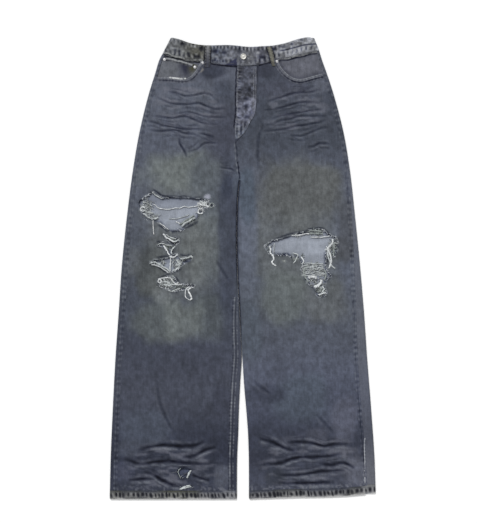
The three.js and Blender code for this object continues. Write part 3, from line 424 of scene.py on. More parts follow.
# Drawn yarns: points, strands, spread, radius, colour, level
CORDS = {
    "fray_thigh": [
        ([(-216, 153), (-211, 152), (-204, 145), (-193, 142), (-177, 141), (-163, 144), (-151, 144),
          (-140, 148), (-131, 146), (-114, 148), (-102, 152)], 4, 0.5, 0.6, WHITE_YARN, 3.2),
        ([(-178, 119), (-161, 118), (-150, 121), (-136, 125), (-128, 129)], 3, 0.7, 0.6, PALE_YARN, 2.8),
        ([(-161, 111), (-155, 109), (-151, 106)], 3, 0.7, 0.6, WHITE_YARN, 2.8),
        ([(-147, 100), (-136, 109), (-123, 116), (-114, 121)], 6, 2.2, 0.75, PALE_YARN, 4.2),
        ([(-152, 104), (-140, 112), (-128, 119), (-117, 127)], 5, 2.0, 0.7, GREEN_YARN, 3.4),
        ([(-199, 107), (-188, 100), (-177, 91)], 4, 0.9, 0.75, WHITE_YARN, 4.6),
        ([(-215, 114), (-215, 102), (-214, 88), (-213, 80)], 4, 0.7, 0.75, WHITE_YARN, 5.6),
        ([(-109, 156), (-99, 153), (-90, 150), (-80, 148)], 7, 2.6, 0.75, WHITE_YARN, 4.6),
        ([(-104, 160), (-94, 158), (-84, 155)], 5, 1.8, 0.7, PALE_YARN, 4.6),
        ([(-95, 137), (-98, 142), (-104, 142), (-107, 136), (-104, 131), (-97, 131), (-95, 137)],
         6, 1.4, 0.75, WHITE_YARN, 4.8),
        ([(-68, 151), (-72, 156), (-78, 154), (-79, 148), (-74, 145), (-69, 148)], 2, 0.5, 0.5,
         GREEN_YARN, 5.6),
        ([(-218, 183), (-209, 175), (-199, 169), (-190, 166)], 4, 1.0, 0.75, PALE_YARN, 4.8),
        ([(-234, 142), (-238, 147), (-244, 145), (-245, 139), (-239, 136), (-234, 140)], 5, 1.2, 0.7,
         WHITE_YARN, 5.0),
        ([(-246, 141), (-232, 136), (-214, 131)], 5, 1.8, 0.7, PALE_YARN, 4.0),
        ([(-238, 131), (-225, 121), (-214, 118), (-202, 122)], 6, 2.0, 0.7, PALE_YARN, 4.4),
        ([(-240, 160), (-228, 155), (-218, 148)], 4, 1.6, 0.65, PALE_YARN, 3.6),
        ([(-230, 166), (-226, 154), (-224, 142)], 3, 1.2, 0.6, GREEN_YARN, 3.6),
    ],
    "fray_shin_upper": [
        ([(-191, 82), (-183, 73), (-172, 67), (-166, 62)], 6, 1.8, 0.8, WHITE_YARN, 4.8),
        ([(-184, 80), (-172, 73), (-160, 70)], 5, 1.8, 0.75, PALE_YARN, 4.6),
        ([(-169, 63), (-162, 64), (-153, 68)], 5, 1.8, 0.75, PALE_YARN, 4.8),
        ([(-206, 56), (-194, 59), (-184, 56), (-169, 53)], 4, 1.1, 0.7, PALE_YARN, 4.8),
        ([(-190, 54), (-183, 43), (-175, 30)], 5, 1.4, 0.75, WHITE_YARN, 4.8),
        ([(-162, 52), (-170, 44), (-171, 34)], 5, 1.6, 0.7, PALE_YARN, 4.4),
        ([(-172, 30), (-173, 17), (-174, 3), (-174, -8)], 5, 1.3, 0.8, WHITE_YARN, 4.8),
        ([(-176, 27), (-167, 26), (-161, 28), (-157, 34)], 5, 1.3, 0.75, WHITE_YARN, 5.0),
        ([(-223, 11), (-210, 14), (-197, 6), (-184, -1), (-174, -9)], 6, 1.8, 0.8, PALE_YARN, 4.8),
        ([(-219, 8), (-204, 5), (-190, -3), (-178, -12)], 5, 1.4, 0.75, WHITE_YARN, 4.9),
        ([(-150, 22), (-136, 24), (-124, 28), (-120, 24)], 7, 2.2, 0.8, PALE_YARN, 4.8),
        ([(-162, 6), (-153, 8), (-156, -1), (-168, -6)], 6, 1.8, 0.75, PALE_YARN, 4.6),
        ([(-160, 20), (-154, 12), (-148, 8)], 5, 1.8, 0.75, PALE_YARN, 4.2),
    ],
    "fray_shin_lower": [
        ([(-118, -47), (-130, -46), (-136, -51), (-138, -62), (-136, -71), (-127, -77)], 4, 0.8, 0.75,
         WHITE_YARN, 5.4),
        ([(-127, -77), (-122, -73), (-127, -63), (-130, -52), (-124, -47)], 6, 1.7, 0.85, WHITE_YARN, 5.5),
        ([(-203, -27), (-190, -24), (-174, -24), (-168, -32), (-158, -39), (-145, -39)], 5, 1.2, 0.75,
         WHITE_YARN, 4.8),
        ([(-190, -39), (-177, -42), (-168, -39), (-152, -42)], 5, 1.6, 0.75, PALE_YARN, 4.6),
        ([(-181, -50), (-171, -56), (-160, -52), (-150, -49)], 5, 1.4, 0.7, PALE_YARN, 4.6),
        ([(-204, -32), (-200, -27), (-195, -31), (-199, -36), (-204, -32)], 4, 1.0, 0.7, WHITE_YARN, 5.0),
        ([(-200, -36), (-188, -33), (-178, -35), (-170, -46)], 5, 1.6, 0.7, PALE_YARN, 4.2),
        ([(-168, -17), (-168, -28), (-172, -40)], 4, 1.2, 0.7, GREEN_YARN, 4.4),
    ],
    "fray_knee": [
        ([(117, 78), (137, 79), (150, 82), (160, 82)], 5, 1.2, 0.75, WHITE_YARN, 4.6),
        ([(163, 74), (180, 74), (191, 74), (209, 77)], 4, 0.9, 0.7, WHITE_YARN, 3.8),
        ([(161, 89), (176, 90), (191, 88)], 5, 1.6, 0.7, GREEN_YARN, 4.4),
        ([(160, 83), (175, 83), (192, 82)], 5, 1.6, 0.7, GREEN_YARN, 4.2),
        ([(64, 53), (67, 45), (66, 37), (73, 28), (74, 20), (70, 13), (80, 5)], 6, 1.4, 0.9, WHITE_YARN,
         5.4),
        ([(76, 60), (75, 48), (75, 36)], 3, 0.8, 0.6, PALE_YARN, 4.6),
        ([(120, 36), (132, 32), (128, 21), (122, 11)], 5, 1.1, 0.8, PALE_YARN, 5.2),
        ([(140, 27), (144, 21), (146, 15), (143, 10)], 5, 1.1, 0.8, WHITE_YARN, 5.2),
        ([(99, 17), (101, 16)], 4, 0.6, 0.8, WHITE_YARN, 5.2),
        ([(216, 70), (214, 58), (204, 47), (209, 35), (212, 21), (211, 10), (206, -1)], 7, 1.9, 0.9,
         WHITE_YARN, 5.2),
        ([(204, 44), (204, 30), (209, 16), (213, 6), (222, -1)], 6, 1.3, 0.85, PALE_YARN, 5.2),
        ([(218, 62), (219, 44), (217, 28)], 4, 1.2, 0.7, GREEN_YARN, 4.6),
        ([(212, 60), (222, 60), (228, 58)], 4, 1.0, 0.7, PALE_YARN, 4.8),
        ([(153, 3), (146, -8), (150, -22), (158, -34)], 4, 2.6, 0.5, GREEN_YARN, 4.2),
        ([(196, -4), (200, -16), (196, -30)], 5, 1.4, 0.7, GREEN_YARN, 4.2),
        ([(158, -25), (163, -21), (170, -21), (177, -25)], 12, 3.8, 0.9, WHITE_YARN, 4.6),
        ([(188, -28), (187, -37), (179, -43), (171, -45)], 13, 3.4, 0.9, WHITE_YARN, 4.6),
        ([(180, -64), (190, -62), (200, -58)], 4, 1.0, 0.75, WHITE_YARN, 4.8),
        ([(191, -44), (196, -50), (192, -56), (198, -62)], 5, 1.4, 0.75, PALE_YARN, 4.6),
    ],
    "fray_hem": [
        ([(-149, -480), (-155, -488), (-153, -495), (-149, -505)], 3, 0.6, 0.6, GREEN_YARN, 6.0),
        ([(-171, -491), (-163, -490), (-156, -489)], 3, 0.6, 0.5, BLUE_YARN, 5.2),
        ([(-156, -475), (-142, -474), (-125, -475)], 3, 0.8, 0.5, BLUE_YARN, 5.0),
        ([(-126, -488), (-130, -495), (-134, -504)], 8, 2.2, 0.9, PALE_YARN, 4.9),
        ([(-124, -485), (-128, -492), (-131, -498)], 6, 1.8, 0.8, PALE_YARN, 4.9),
        ([(-124, -524), (-133, -526), (-142, -528), (-151, -531)], 9, 1.8, 0.9, PALE_YARN, 4.9),
        ([(-126, -522), (-138, -524), (-148, -529)], 6, 1.4, 0.8, PALE_YARN, 4.8),
    ],
}
# Loose tangles: middle, half size, count, length, colour, levels
TANGLES = {
    "fray_thigh": [
        ((-233, 148), (13, 18), 60, 13, PALE_YARN, (2.4, 5.4)),
        ((-92, 153), (15, 7), 44, 11, WHITE_YARN, (2.6, 5.4)),
        ((-122, 112), (16, 7), 30, 12, GREEN_YARN, (2.4, 5.0)),
        ((-222, 125), (17, 6), 34, 12, PALE_YARN, (2.6, 5.2)),
        ((-101, 137), (8, 8), 22, 8, WHITE_YARN, (3.0, 5.2)),
        ((-96, 154), (9, 5), 26, 8, WHITE_YARN, (4.0, 5.6)),
    ],
    "fray_shin_upper": [
        ((-198, 8), (18, 8), 34, 12, PALE_YARN, (2.2, 4.6)),
        ((-156, 10), (13, 12), 46, 11, PALE_YARN, (2.2, 4.8)),
        ((-184, 50), (15, 8), 36, 10, GREEN_YARN, (2.2, 4.8)),
        ((-171, 69), (16, 6), 26, 12, GREEN_YARN, (2.4, 4.8)),
        ((-136, 24), (14, 4), 14, 9, GREEN_YARN, (2.6, 4.8)),
    ],
    "fray_shin_lower": [
        ((-183, -36), (20, 13), 110, 12, PALE_YARN, (2.0, 5.0)),
        ((-146, -45), (18, 5), 30, 11, GREEN_YARN, (2.0, 4.6)),
    ],
    "fray_knee": [
        ((170, -6), (28, 14), 50, 14, PALE_YARN, (2.0, 4.2)),
        ((172, -33), (15, 14), 40, 13, PALE_YARN, (2.0, 4.4)),
        ((189, -52), (10, 14), 40, 10, PALE_YARN, (2.0, 4.8)),
        ((217, 42), (10, 28), 50, 13, GREEN_YARN, (2.0, 4.8)),
        ((130, 81), (14, 4), 10, 9, PALE_YARN, (2.4, 5.0)),
        ((62, 50), (9, 8), 14, 9, GREEN_YARN, (2.2, 4.8)),
        ((130, 27), (14, 6), 14, 9, GREEN_YARN, (2.4, 4.8)),
        ((205, 45), (5, 8), 24, 8, WHITE_YARN, (4.2, 5.6)),
        ((215, 58), (5, 7), 18, 8, PALE_YARN, (4.0, 5.4)),
        ((176, 86), (17, 5), 40, 12, GREEN_YARN, (3.4, 4.8)),
        ((184, -53), (9, 5), 26, 8, GREEN_YARN, (3.0, 4.6)),
    ],
    "fray_hem": [((-141, -492), (10, 7), 4, 8, BLUE_YARN, (3.0, 4.8))],
}

# Colours as seen in the photograph
PALE_CLOTH = (150, 155, 160)
INSIDE_CLOTH = (146, 152, 163)
THREAD_BLUE = (128, 134, 146)
STITCH_TONE = (108, 110, 116)
STITCH_PALE = (138, 140, 145)
BUTTONHOLE_TONE = (184, 186, 178)
RUBBED_TONE = (118, 119, 130)
CREST_TONE = (118, 122, 131)
BACK_CREST_TONE = (118, 122, 130)
TURNED_TONE = (112, 114, 122)
MOUTH_TONE = (128, 131, 137)
FLECK_TONE = (128, 130, 138)
HEM_TONE = (74, 75, 80)
HEM_BLUE = (60, 64, 76)
HEM_STAIN = (78, 79, 70)
HEM_RIDGE = (146, 146, 148)
HEM_RIM = (172, 172, 172)
HEM_PIT = (29, 31, 38)
BAND_RIDGE = (172, 174, 178)
# Painted shade in the band's fold
FOLD_SHADE_TONE = (54, 57, 80)
FACING_TONE = (98, 100, 110)
COIN_TONE = (100, 103, 110)
# Painted shade in the coin pocket's mouth
COIN_MOUTH_SHADE = (46, 48, 64)
COIN_DIRT = (68, 68, 56)
FLY_TONE = (74, 77, 88)
FLY_MIDDLE = (104, 107, 122)
FLY_END = (80, 86, 99)
FLY_RIDGE = (136, 138, 146)
FLY_TWIN = (126, 129, 138)
FLY_PALE = (148, 150, 158)
POUCH_TONE = (86, 90, 102)
POUCH_EDGE = (124, 127, 134)
LOOP_TONE = (108, 109, 110)
LOOP_RIDGE = (152, 152, 148)
BUTTON_TONE = (205, 204, 199)
RIVET_TONE = (214, 214, 216)


def linear(colour):
    share = np.asarray(colour, float) / 255
    return np.where(share > 0.04045, ((np.maximum(share, 0) + 0.055) / 1.055) ** 2.4, share / 12.92)


def surface_colour(colour):
    """Colour given to the surface, from the colour seen in the photograph: the cloth's own, and painted
    shade and highlight where those are painted.
    """
    return np.clip(linear(np.clip(colour, 4, 250)) / LIGHT_GAIN, 0, 0.95)


def noise(x, y, wide, tall, seed):
    """Smooth value noise from 0 to 1 with lumps of a width and a height."""
    u, v = np.asarray(x, float) / wide, np.asarray(y, float) / tall
    i, j = np.floor(u).astype(np.int64), np.floor(v).astype(np.int64)
    f, g = u - i, v - j
    f, g = f * f * (3 - 2 * f), g * g * (3 - 2 * g)

    def corner(a, b):
        mixed = (a * 374761393 + b * 668265263 + seed * 1274126177) & 0x7FFFFFFF
        mixed = ((mixed ^ (mixed >> 13)) * 1103515245) & 0x7FFFFFFF
        return ((mixed ^ (mixed >> 15)) & 0xFFFF) / 65535

    low = lerp(corner(i, j), corner(i + 1, j), f)
    high = lerp(corner(i, j + 1), corner(i + 1, j + 1), f)
    return lerp(low, high, g)


def stripes(x, pitch, seed):
    """Uneven waves from -1 to 1 along a seam."""
    wander = noise(x, 0 * x, 4 * pitch, 1.0, seed)
    swing = 0.45 + 0.8 * noise(x, 0 * x, 2 * pitch, 1.0, seed + 1)
    return np.sin(2 * np.pi * (x / pitch + 0.8 * wander)) * swing


def from_photo(points):
    return [
        ((px - PHOTO_MIDDLE[0]) * PHOTO_PITCH, (PHOTO_MIDDLE[1] - py) * PHOTO_PITCH) for px, py in points
    ]


def rounded(points, step, closed=False):
    """Smooth line through points, with a point about every step."""
    points = np.array(points, float)
    count = len(points)
    spans = count if closed else count - 1
    line = []
    for index in range(spans):
        pick = index + np.arange(-1, 3)
        a, b, c, d = points[pick % count if closed else np.clip(pick, 0, count - 1)]
        parts = max(1, int(np.linalg.norm(c - b) / step))
        for part in range(parts):
            t = part / parts
            line.append(0.5 * (
                2 * b + (c - a) * t + (2 * a - 5 * b + 4 * c - d) * t**2 + (3 * b - a - 3 * c + d) * t**3
            ))
    if not closed:
        line.append(points[-1])
    return np.array(line)


def near(x, y, line, closed=False):
    """Distance to a line, the side of it, the share along it and the nearest point on it."""
    ends = np.roll(line, -1, axis=0) if closed else line[1:]
    starts = line if closed else line[:-1]
    lengths = np.linalg.norm(ends - starts, axis=1)
    passed = np.concatenate([[0], np.cumsum(lengths)])
    gap = np.full(x.shape, 1e9)
    side, along = np.zeros(x.shape), np.zeros(x.shape)
    foot_x, foot_y = np.zeros(x.shape), np.zeros(x.shape)
    for (ax, ay), (bx, by), long, before in zip(starts, ends, lengths, passed):
        dx, dy = bx - ax, by - ay
        share = np.clip(((x - ax) * dx + (y - ay) * dy) / max(long * long, 1e-9), 0, 1)
        px, py = ax + share * dx, ay + share * dy
        distance = np.hypot(x - px, y - py)
        closer = distance < gap
        gap = np.where(closer, distance, gap)
        side = np.where(closer, np.sign(dx * (y - ay) - dy * (x - ax)), side)
        along = np.where(closer, (before + share * long) / passed[-1], along)
        foot_x, foot_y = np.where(closer, px, foot_x), np.where(closer, py, foot_y)
    return gap, side, along, foot_x, foot_y


def contains(x, y, outline):
    inside = np.zeros(x.shape, bool)
    for (x0, y0), (x1, y1) in zip(outline, np.roll(outline, -1, axis=0)):
        if y0 == y1:
            continue
        crosses = ((y0 > y) != (y1 > y)) & (x < x0 + (x1 - x0) * (y - y0) / (y1 - y0))
        inside ^= crosses
    return inside


def ragged(points, step, swing, seed):
    """Torn outline: short uneven steps in and out of a drawn one."""
    line = np.array(points, float)
    parts = []
    for a, b in zip(line, np.roll(line, -1, axis=0)):
        count = max(1, int(np.linalg.norm(b - a) / step))
        parts += [lerp(a, b, part / count) for part in range(count)]
    line = np.array(parts)
    way = unit(np.roll(line, -1, axis=0) - np.roll(line, 1, axis=0))
    draws = np.random.default_rng(seed).normal(0, swing, len(line))
    return line + np.stack([-way[:, 1], way[:, 0]], 1) * draws[:, None]


TORN = {name: ragged(points, 2.6, 0.9, 11 + index) for index, (name, points) in enumerate(RIPS.items())}


# Layout of the cloth
def under(x, y):
    """How far the cloth is raised over the patch pockets below it."""
    def band(value, middle, half):
        return 1 - smooth(np.abs(value - middle) - half - LIFT_MARGIN, 0, LIFT_RAMP)

    tall = band(y, (POCKET["top"] + POCKET["point"]) / 2, (POCKET["top"] - POCKET["point"]) / 2)
    wide = np.maximum(*(band(x, middle, POCKET["half_top"]) for middle in POCKET_MIDDLES.values()))
    return UNDER_LIFT * tall * wide


def meet(edge, top, bottom, t):
    x = edge(lerp(top(0.0), bottom(0.0), t))
    for _ in range(4):
        x = edge(lerp(top(x), bottom(x), t))
    return x, lerp(top(x), bottom(x), t)


def fold_pair(edge, side, s, y, radius, cloth):
    """Points on both faces of a fold, "s" along its outer face from the underside to the top."""
    turn = np.minimum(s / radius, np.pi)
    past = np.maximum(0, s - np.pi * radius)
    middle = edge - side * radius
    y = np.broadcast_to(y, s.shape)
    faces = []
    for reach in (radius, radius - cloth):
        x = middle + side * (reach * np.sin(turn) - past)
        faces.append(np.stack([x, y, radius - reach * np.cos(turn)], -1))
    return faces


def flat_pair(x, y, z, cloth):
    x, y, z = np.broadcast_arrays(x, y, z)
    return [np.stack([x, y, z], -1), np.stack([x, y, z - cloth], -1)]


def front_grid(leg, top, bottom, rows, columns, cloth, radius):
    """Both faces of a front piece, and how freely each point can lift."""
    side = leg["side"]
    t = np.linspace(0, 1, rows)[:, None]
    outer_x, outer_y = meet(leg["outer"], top, bottom, t)
    inner_x, inner_y = meet(leg["inner"], top, bottom, t)
    centre_x, _ = meet(CENTRE_FRONT, top, bottom, t)
    bend = np.pi * radius
    seam = leg["inseam"](inner_y) + SEAM_GAP / 2
    flat = np.maximum(bend, seam) + FLAT_END
    split = inner_y < CROTCH
    start = outer_x - side * (radius + leg["wrap"](outer_y) + SEAM_GAP / 2)
    inward = np.where(
        split, inner_x + side * (radius + flat - bend), centre_x + side * (SEAM_GAP / 2 + FLAT_END)
    )
    x = lerp(start, inward, np.linspace(0, 1, columns + 1))
    y = lerp(top(x), bottom(x), t)
    level = flat_pair(x, y, 2 * radius, cloth)
    share = np.linspace(0, 1, FOLD_COLUMNS + 1)[1:]
    fold = fold_pair(inner_x, -side, lerp(flat, seam, share), inner_y, radius, cloth)
    end_x = inward - side * FLAT_END * share
    end = flat_pair(end_x, lerp(top(end_x), bottom(end_x), t), 2 * radius, cloth)
    outer, inner = (
        np.concatenate([a, np.where(split[..., None], b, c)], axis=1) for a, b, c in zip(level, fold, end)
    )
    free = smooth(np.minimum(np.abs(x - start), np.abs(x - inward)), 0, 12)
    free = np.concatenate([free, np.zeros_like(end_x)], axis=1)
    return outer, inner, free


def back_grid(leg, top, bottom, rows, columns, cloth, radius):
    """Both faces of a back piece, with its side turned to the front, and how freely points lift."""
    side = leg["side"]
    t = np.linspace(0, 1, rows)[:, None]
    outer_x, outer_y = meet(leg["outer"], top, bottom, t)
    inner_x, inner_y = meet(leg["inner"], top, bottom, t)
    centre_x, _ = meet(CENTRE_BACK, top, bottom, t)
    split = inner_y < CROTCH
    outseam = np.pi * radius + leg["wrap"](outer_y) - SEAM_GAP / 2
    inseam = leg["inseam"](inner_y) - SEAM_GAP / 2
    start = outer_x - side * radius
    end = np.where(split, inner_x + side * radius, centre_x + side * (SEAM_GAP / 2 + FLAT_END))
    wrap = fold_pair(
        outer_x, side, outseam * np.linspace(1, 0, WRAP_COLUMNS + 1)[:-1], outer_y, radius, cloth
    )
    x = lerp(start, end, np.linspace(0, 1, columns + 1))
    y = lerp(top(x), bottom(x), t)
    level = flat_pair(x, y, 0.0, -cloth)
    share = np.linspace(0, 1, FOLD_COLUMNS + 1)[1:]
    fold = fold_pair(inner_x, -side, inseam * share, inner_y, radius, cloth)
    last_x = end - side * FLAT_END * share
    last = flat_pair(last_x, lerp(top(last_x), bottom(last_x), t), 0.0, -cloth)
    outer, inner = (
        np.concatenate([a, b, np.where(split[..., None], c, d)], axis=1)
        for a, b, c, d in zip(wrap, level, fold, last)
    )
    free = smooth(np.minimum(np.abs(x - start), np.abs(x - end)), 0, 12)
    free = np.concatenate([np.zeros(wrap[0].shape[:2]), free, np.zeros_like(last_x)], axis=1)
    return outer, inner, free


def waist_seam(x):
    return WAIST_BOTTOM(x) - SEAM_GAP


def back_waist_seam(x):
    return WAIST_BACK(x) - 2 * SEAM_GAP


def yoke_seam(x):
    return lerp(YOKE_MIDDLE, YOKE_SIDE, np.minimum(1, np.abs(x) / YOKE_SPAN))


def side_seam(leg, y, past=0.0):
    """Where a leg's side seam shows on the front, or a little past it."""
    return leg["outer"](y) - leg["side"] * (FOLD_RADIUS + leg["wrap"](y) + past)


def inner_seam(y):
    """Where the right leg's inner seam shows on the front."""
    return RIGHT_LEG["inner"](y) - FOLD_RADIUS - (RIGHT_LEG["inseam"](y) - np.pi * FOLD_RADIUS)


def hem_seam(leg, x):
    """Upper edge of a leg's hem, where the panels end."""
    return leg["hem"](x) + HEM_HEIGHT + SEAM_GAP


def coin_edge(x):
    """Upper edge of the coin pocket."""
    return np.interp(x, *np.array(COIN_TOP, float).T)


def mouth_line(leg, step):
    """Edge of a pocket mouth, as far as its welt goes."""
    line = rounded(leg["scoop"], step)
    return line[np.abs(line[:, 0]) < np.abs(leg["outer"](line[:, 1])) - WELT_STOP]


# Relief and colour of the cloth
def boxed(x, y, line, reach):
    """Which points lie in the box round a line, widened by a reach."""
    low, high = line.min(axis=0) - reach, line.max(axis=0) + reach
    return (x > low[0]) & (x < high[0]) & (y > low[1]) & (y < high[1])


def crease_fields(x, y, groups):
    """Height, dark share and pale share that lines of creases give, each line with its profile. The dark
    share is indigo kept in the troughs with painted shade; the pale share is wear on the ridges, stronger on
    one side (below lines drawn left to right) as painted highlight.
    """
    height, dark, pale = np.zeros(x.shape), np.zeros(x.shape), np.zeros(x.shape)
    for lines, width, depth, strength in groups:
        for number, points in enumerate(lines):
            line = rounded(points, 8.0)
            pick = boxed(x, y, line, 4.5 * width)
            if not pick.any():
                continue
            gap, side, along, _, _ = near(x[pick], y[pick], line)
            waver = 0.7 + 0.6 * noise(x[pick], y[pick], 24.0, 24.0, 60 + number)
            ratio = gap / (width * waver)
            ends = np.sqrt(np.sin(np.pi * np.clip(along, 0, 1)))
            trough = hump(ratio, 1.0)
            ridge = hump(ratio - 2.0, 0.9)
            height[pick] += depth * ends * (0.45 * ridge * np.where(side < 0, 1.2, 0.8) - trough)
            dark[pick] = np.maximum(dark[pick], strength * ends * trough)
            pale[pick] = np.maximum(pale[pick], strength * ends * ridge * np.where(side < 0, 1.0, 0.6))
    return height, dark, pale


def companions(lines, each, draws):
    """Short fine creases beside longer ones."""
    finer = []
    for points in lines:
        line = rounded(points, 6.0)
        for _ in range(each):
            span = draws.uniform(0.25, 0.6)
            first = int(draws.uniform(0, 1 - span) * len(line))
            part = line[first:first + max(4, int(span * len(line)))]
            shift = draws.choice([-1, 1]) * draws.uniform(5, 13)
            tilt = np.linspace(-1, 1, len(part)) * draws.normal(0, 3)
            finer.append(np.stack([part[:, 0], part[:, 1] + shift + tilt], 1))
    return finer


CREASE_DRAWS = np.random.default_rng(17)
WHISKER_LINES = [from_photo(points) for points in WHISKERS]
ANKLE_LINES = [from_photo(points) for points in ANKLE_CREASES]
FOLD_LINES = [from_photo(points) for points in LONG_FOLDS]
FINE_LINES = companions(WHISKER_LINES, 4, CREASE_DRAWS) + companions(ANKLE_LINES, 5, CREASE_DRAWS)
FRONT_CREASES = [
    (WHISKER_LINES, 2.5, 1.3, 1.0), (ANKLE_LINES, 3.9, 1.4, 1.5), (FOLD_LINES, 3.4, 0.7, 0.4),
    (FINE_LINES, 1.9, 0.55, 0.45),
]


def rip_gap(x, y, names):
    """Distance to the nearest torn edge, up to a few centimetres."""
    gap = np.full(x.shape, 60.0)
    for name in names:
        line = TORN[name]
        pick = boxed(x, y, line, 40)
        if pick.any():
            gap[pick] = np.minimum(gap[pick], near(x[pick], y[pick], line, closed=True)[0])
    return gap


def front_relief(x, y, names):
    height, dark, pale = crease_fields(x, y, FRONT_CREASES)
    wide = noise(x, y, 70.0, 120.0, 3) + 0.5 * noise(x, y, 28.0, 45.0, 4) - 0.75
    height = np.clip(height, -1.6, 2.4) + 0.9 * wide
    gap = rip_gap(x, y, names)
    height += (0.5 + 1.9 * noise(x, y, 13.0, 13.0, 5)) * np.exp(-gap / 5.0)
    height += 0.5 * hump(gap - 12, 6) * noise(x, y, 20.0, 20.0, 6)
    return height, dark, pale, gap


def tones(y, table):
    curves = [through([(row[0], row[channel]) for row in table]) for channel in (1, 2, 3)]
    return np.stack([curve(y) for curve in curves], -1)


def washed(colour, x, y):
    for (px, py), (half_wide, half_tall), tint, strength in WASHES:
        ((cx, cy),) = from_photo([(px, py)])
        u = (x - cx) / (half_wide * PHOTO_PITCH)
        v = (y - cy) / (half_tall * PHOTO_PITCH)
        reach = (np.abs(u) ** 2.6 + np.abs(v) ** 2.6) ** (1 / 2.6)
        reach = reach + 0.42 * (noise(x, y, 44.0, 44.0, 8) - 0.5) + 0.14 * (noise(x, y, 13.0, 13.0, 9) - 0.5)
        share = strength * (1 - smooth(reach, 0.62, 1.25))
        colour = lerp(colour, np.array(tint, float), share[..., None])
    return colour


def mottled(colour, x, y, amount):
    """Uneven fading: clouds, patches and spots."""
    clouds = noise(x, y, 46.0, 60.0, 21) + 0.8 * noise(x, y, 19.0, 22.0, 22) - 0.9
    spots = noise(x, y, 8.5, 10.0, 24) + 0.8 * noise(x, y, 4.4, 5.2, 25) - 0.9
    return colour * (1 + amount * (0.24 * clouds + 0.6 * spots))[..., None]


def blended(colour, tint, share):
    return lerp(colour, np.array(tint, float), np.clip(share, 0, 1)[..., None])


def even(colour, x):
    """One colour at every point."""
    return np.broadcast_to(np.array(colour, float), x.shape + (3,))


def darkened(colour, share):
    """Colour darkened by a share, the blue lasting longest: indigo kept in folds and troughs, and painted
    shade.
    """
    return colour * (1 - np.clip(share, 0, 1)[..., None] * np.array([1.04, 1.0, 0.84]))


def faded_patches(x, y):
    """Pale rubbed patches between the creases of the thighs and ankles."""
    share = np.zeros(x.shape)
    for (px, py), (half_wide, half_tall) in RUBBED:
        ((cx, cy),) = from_photo([(px, py)])
        reach = np.hypot((x - cx) / (half_wide * PHOTO_PITCH), (y - cy) / (half_tall * PHOTO_PITCH))
        share = np.maximum(share, 1 - smooth(reach, 0.55, 1.1))
    return share * smooth(noise(x, y, 24.0, 8.0, 34) + 0.4 * noise(x, y, 9.0, 4.0, 35), 0.6, 1.0)


def front_colour(x, y, table, dark, pale, gap):
    colour = mottled(washed(tones(y, table), x, y), x, y, 0.3)
    colour = blended(colour, RUBBED_TONE, 0.55 * faded_patches(x, y))
    # Creases: worn crests, stronger on their lit side as painted highlight, and indigo in the troughs with
    # painted shade
    colour = blended(colour, CREST_TONE, 0.6 * pale * (0.1 + 1.1 * noise(x, y, 8.0, 5.0, 31)))
    colour = darkened(colour, 0.54 * dark * (0.6 + 0.7 * noise(x, y, 12.0, 8.0, 32)))
    # Darker round the torn edges: painted shade with soiling, and painted shadow lines along the edges
    edge_shade_and_soil = 0.6 * hump(gap - 1.4, 1.7) * (0.1 + 0.9 * noise(x, y, 9.0, 9.0, 36))
    edges = crease_fields(x, y, [(RIP_SHADOW_LINES, 2.0, 0.0, 1.0)])[1]
    colour = darkened(colour, np.maximum(0.5 * edge_shade_and_soil, 0.75 * edges))
    for (cx, cy), (wide, tall), tint in PALE_TABS:
        reach = ((x - cx) / wide) ** 2 + ((y - cy) / tall) ** 2
        uneven = reach * (0.7 + 0.6 * noise(x, y, 4.0, 4.0, 37))
        colour = blended(colour, tint, 0.95 * (1 - smooth(uneven, 0.5, 1.1)))
    worn = np.exp(-gap / 1.2) * smooth(noise(x, y, 5.0, 5.0, 33), 0.35, 0.8) * smooth(y, -460, -440)
    return blended(colour, PALE_CLOTH, 0.8 * worn)


def inside_colour(x, y):
    """Inner face of the cloth: pale and banded, with painted shade close under the torn edges and over parts
    of each rip.
    """
    base = even(INSIDE_CLOTH, x)
    bands = noise(x, y, 60.0, 9.0, 41) - 0.5
    colour = mottled(base * (1 + 0.16 * bands)[..., None], x, y, 0.14)
    for name, (depth, low_y, high_y) in SHADED_RIPS.items():
        line = TORN[name]
        pick = boxed(x, y, line, 12)
        if pick.any():
            px, py = x[pick], y[pick]
            gap, _, _, _, foot_y = near(px, py, line, closed=True)
            # Painted shade: strongest close under the upper torn edges, growing between the listed heights,
            # with painted shadow lines along the edges
            above = np.where(foot_y > py, 1.0, 0.55)
            dark = 0.62 * above * hump(gap, 3.2 if name in WIDE_RIPS else 1.6)
            dark = np.maximum(dark, depth * smooth(py, low_y, high_y))
            edges = crease_fields(px, py, [(RIP_SHADOW_LINES, 2.6, 0.0, 1.0)])[1]
            colour[pick] = darkened(colour[pick], np.maximum(dark, 0.8 * edges))
    return colour


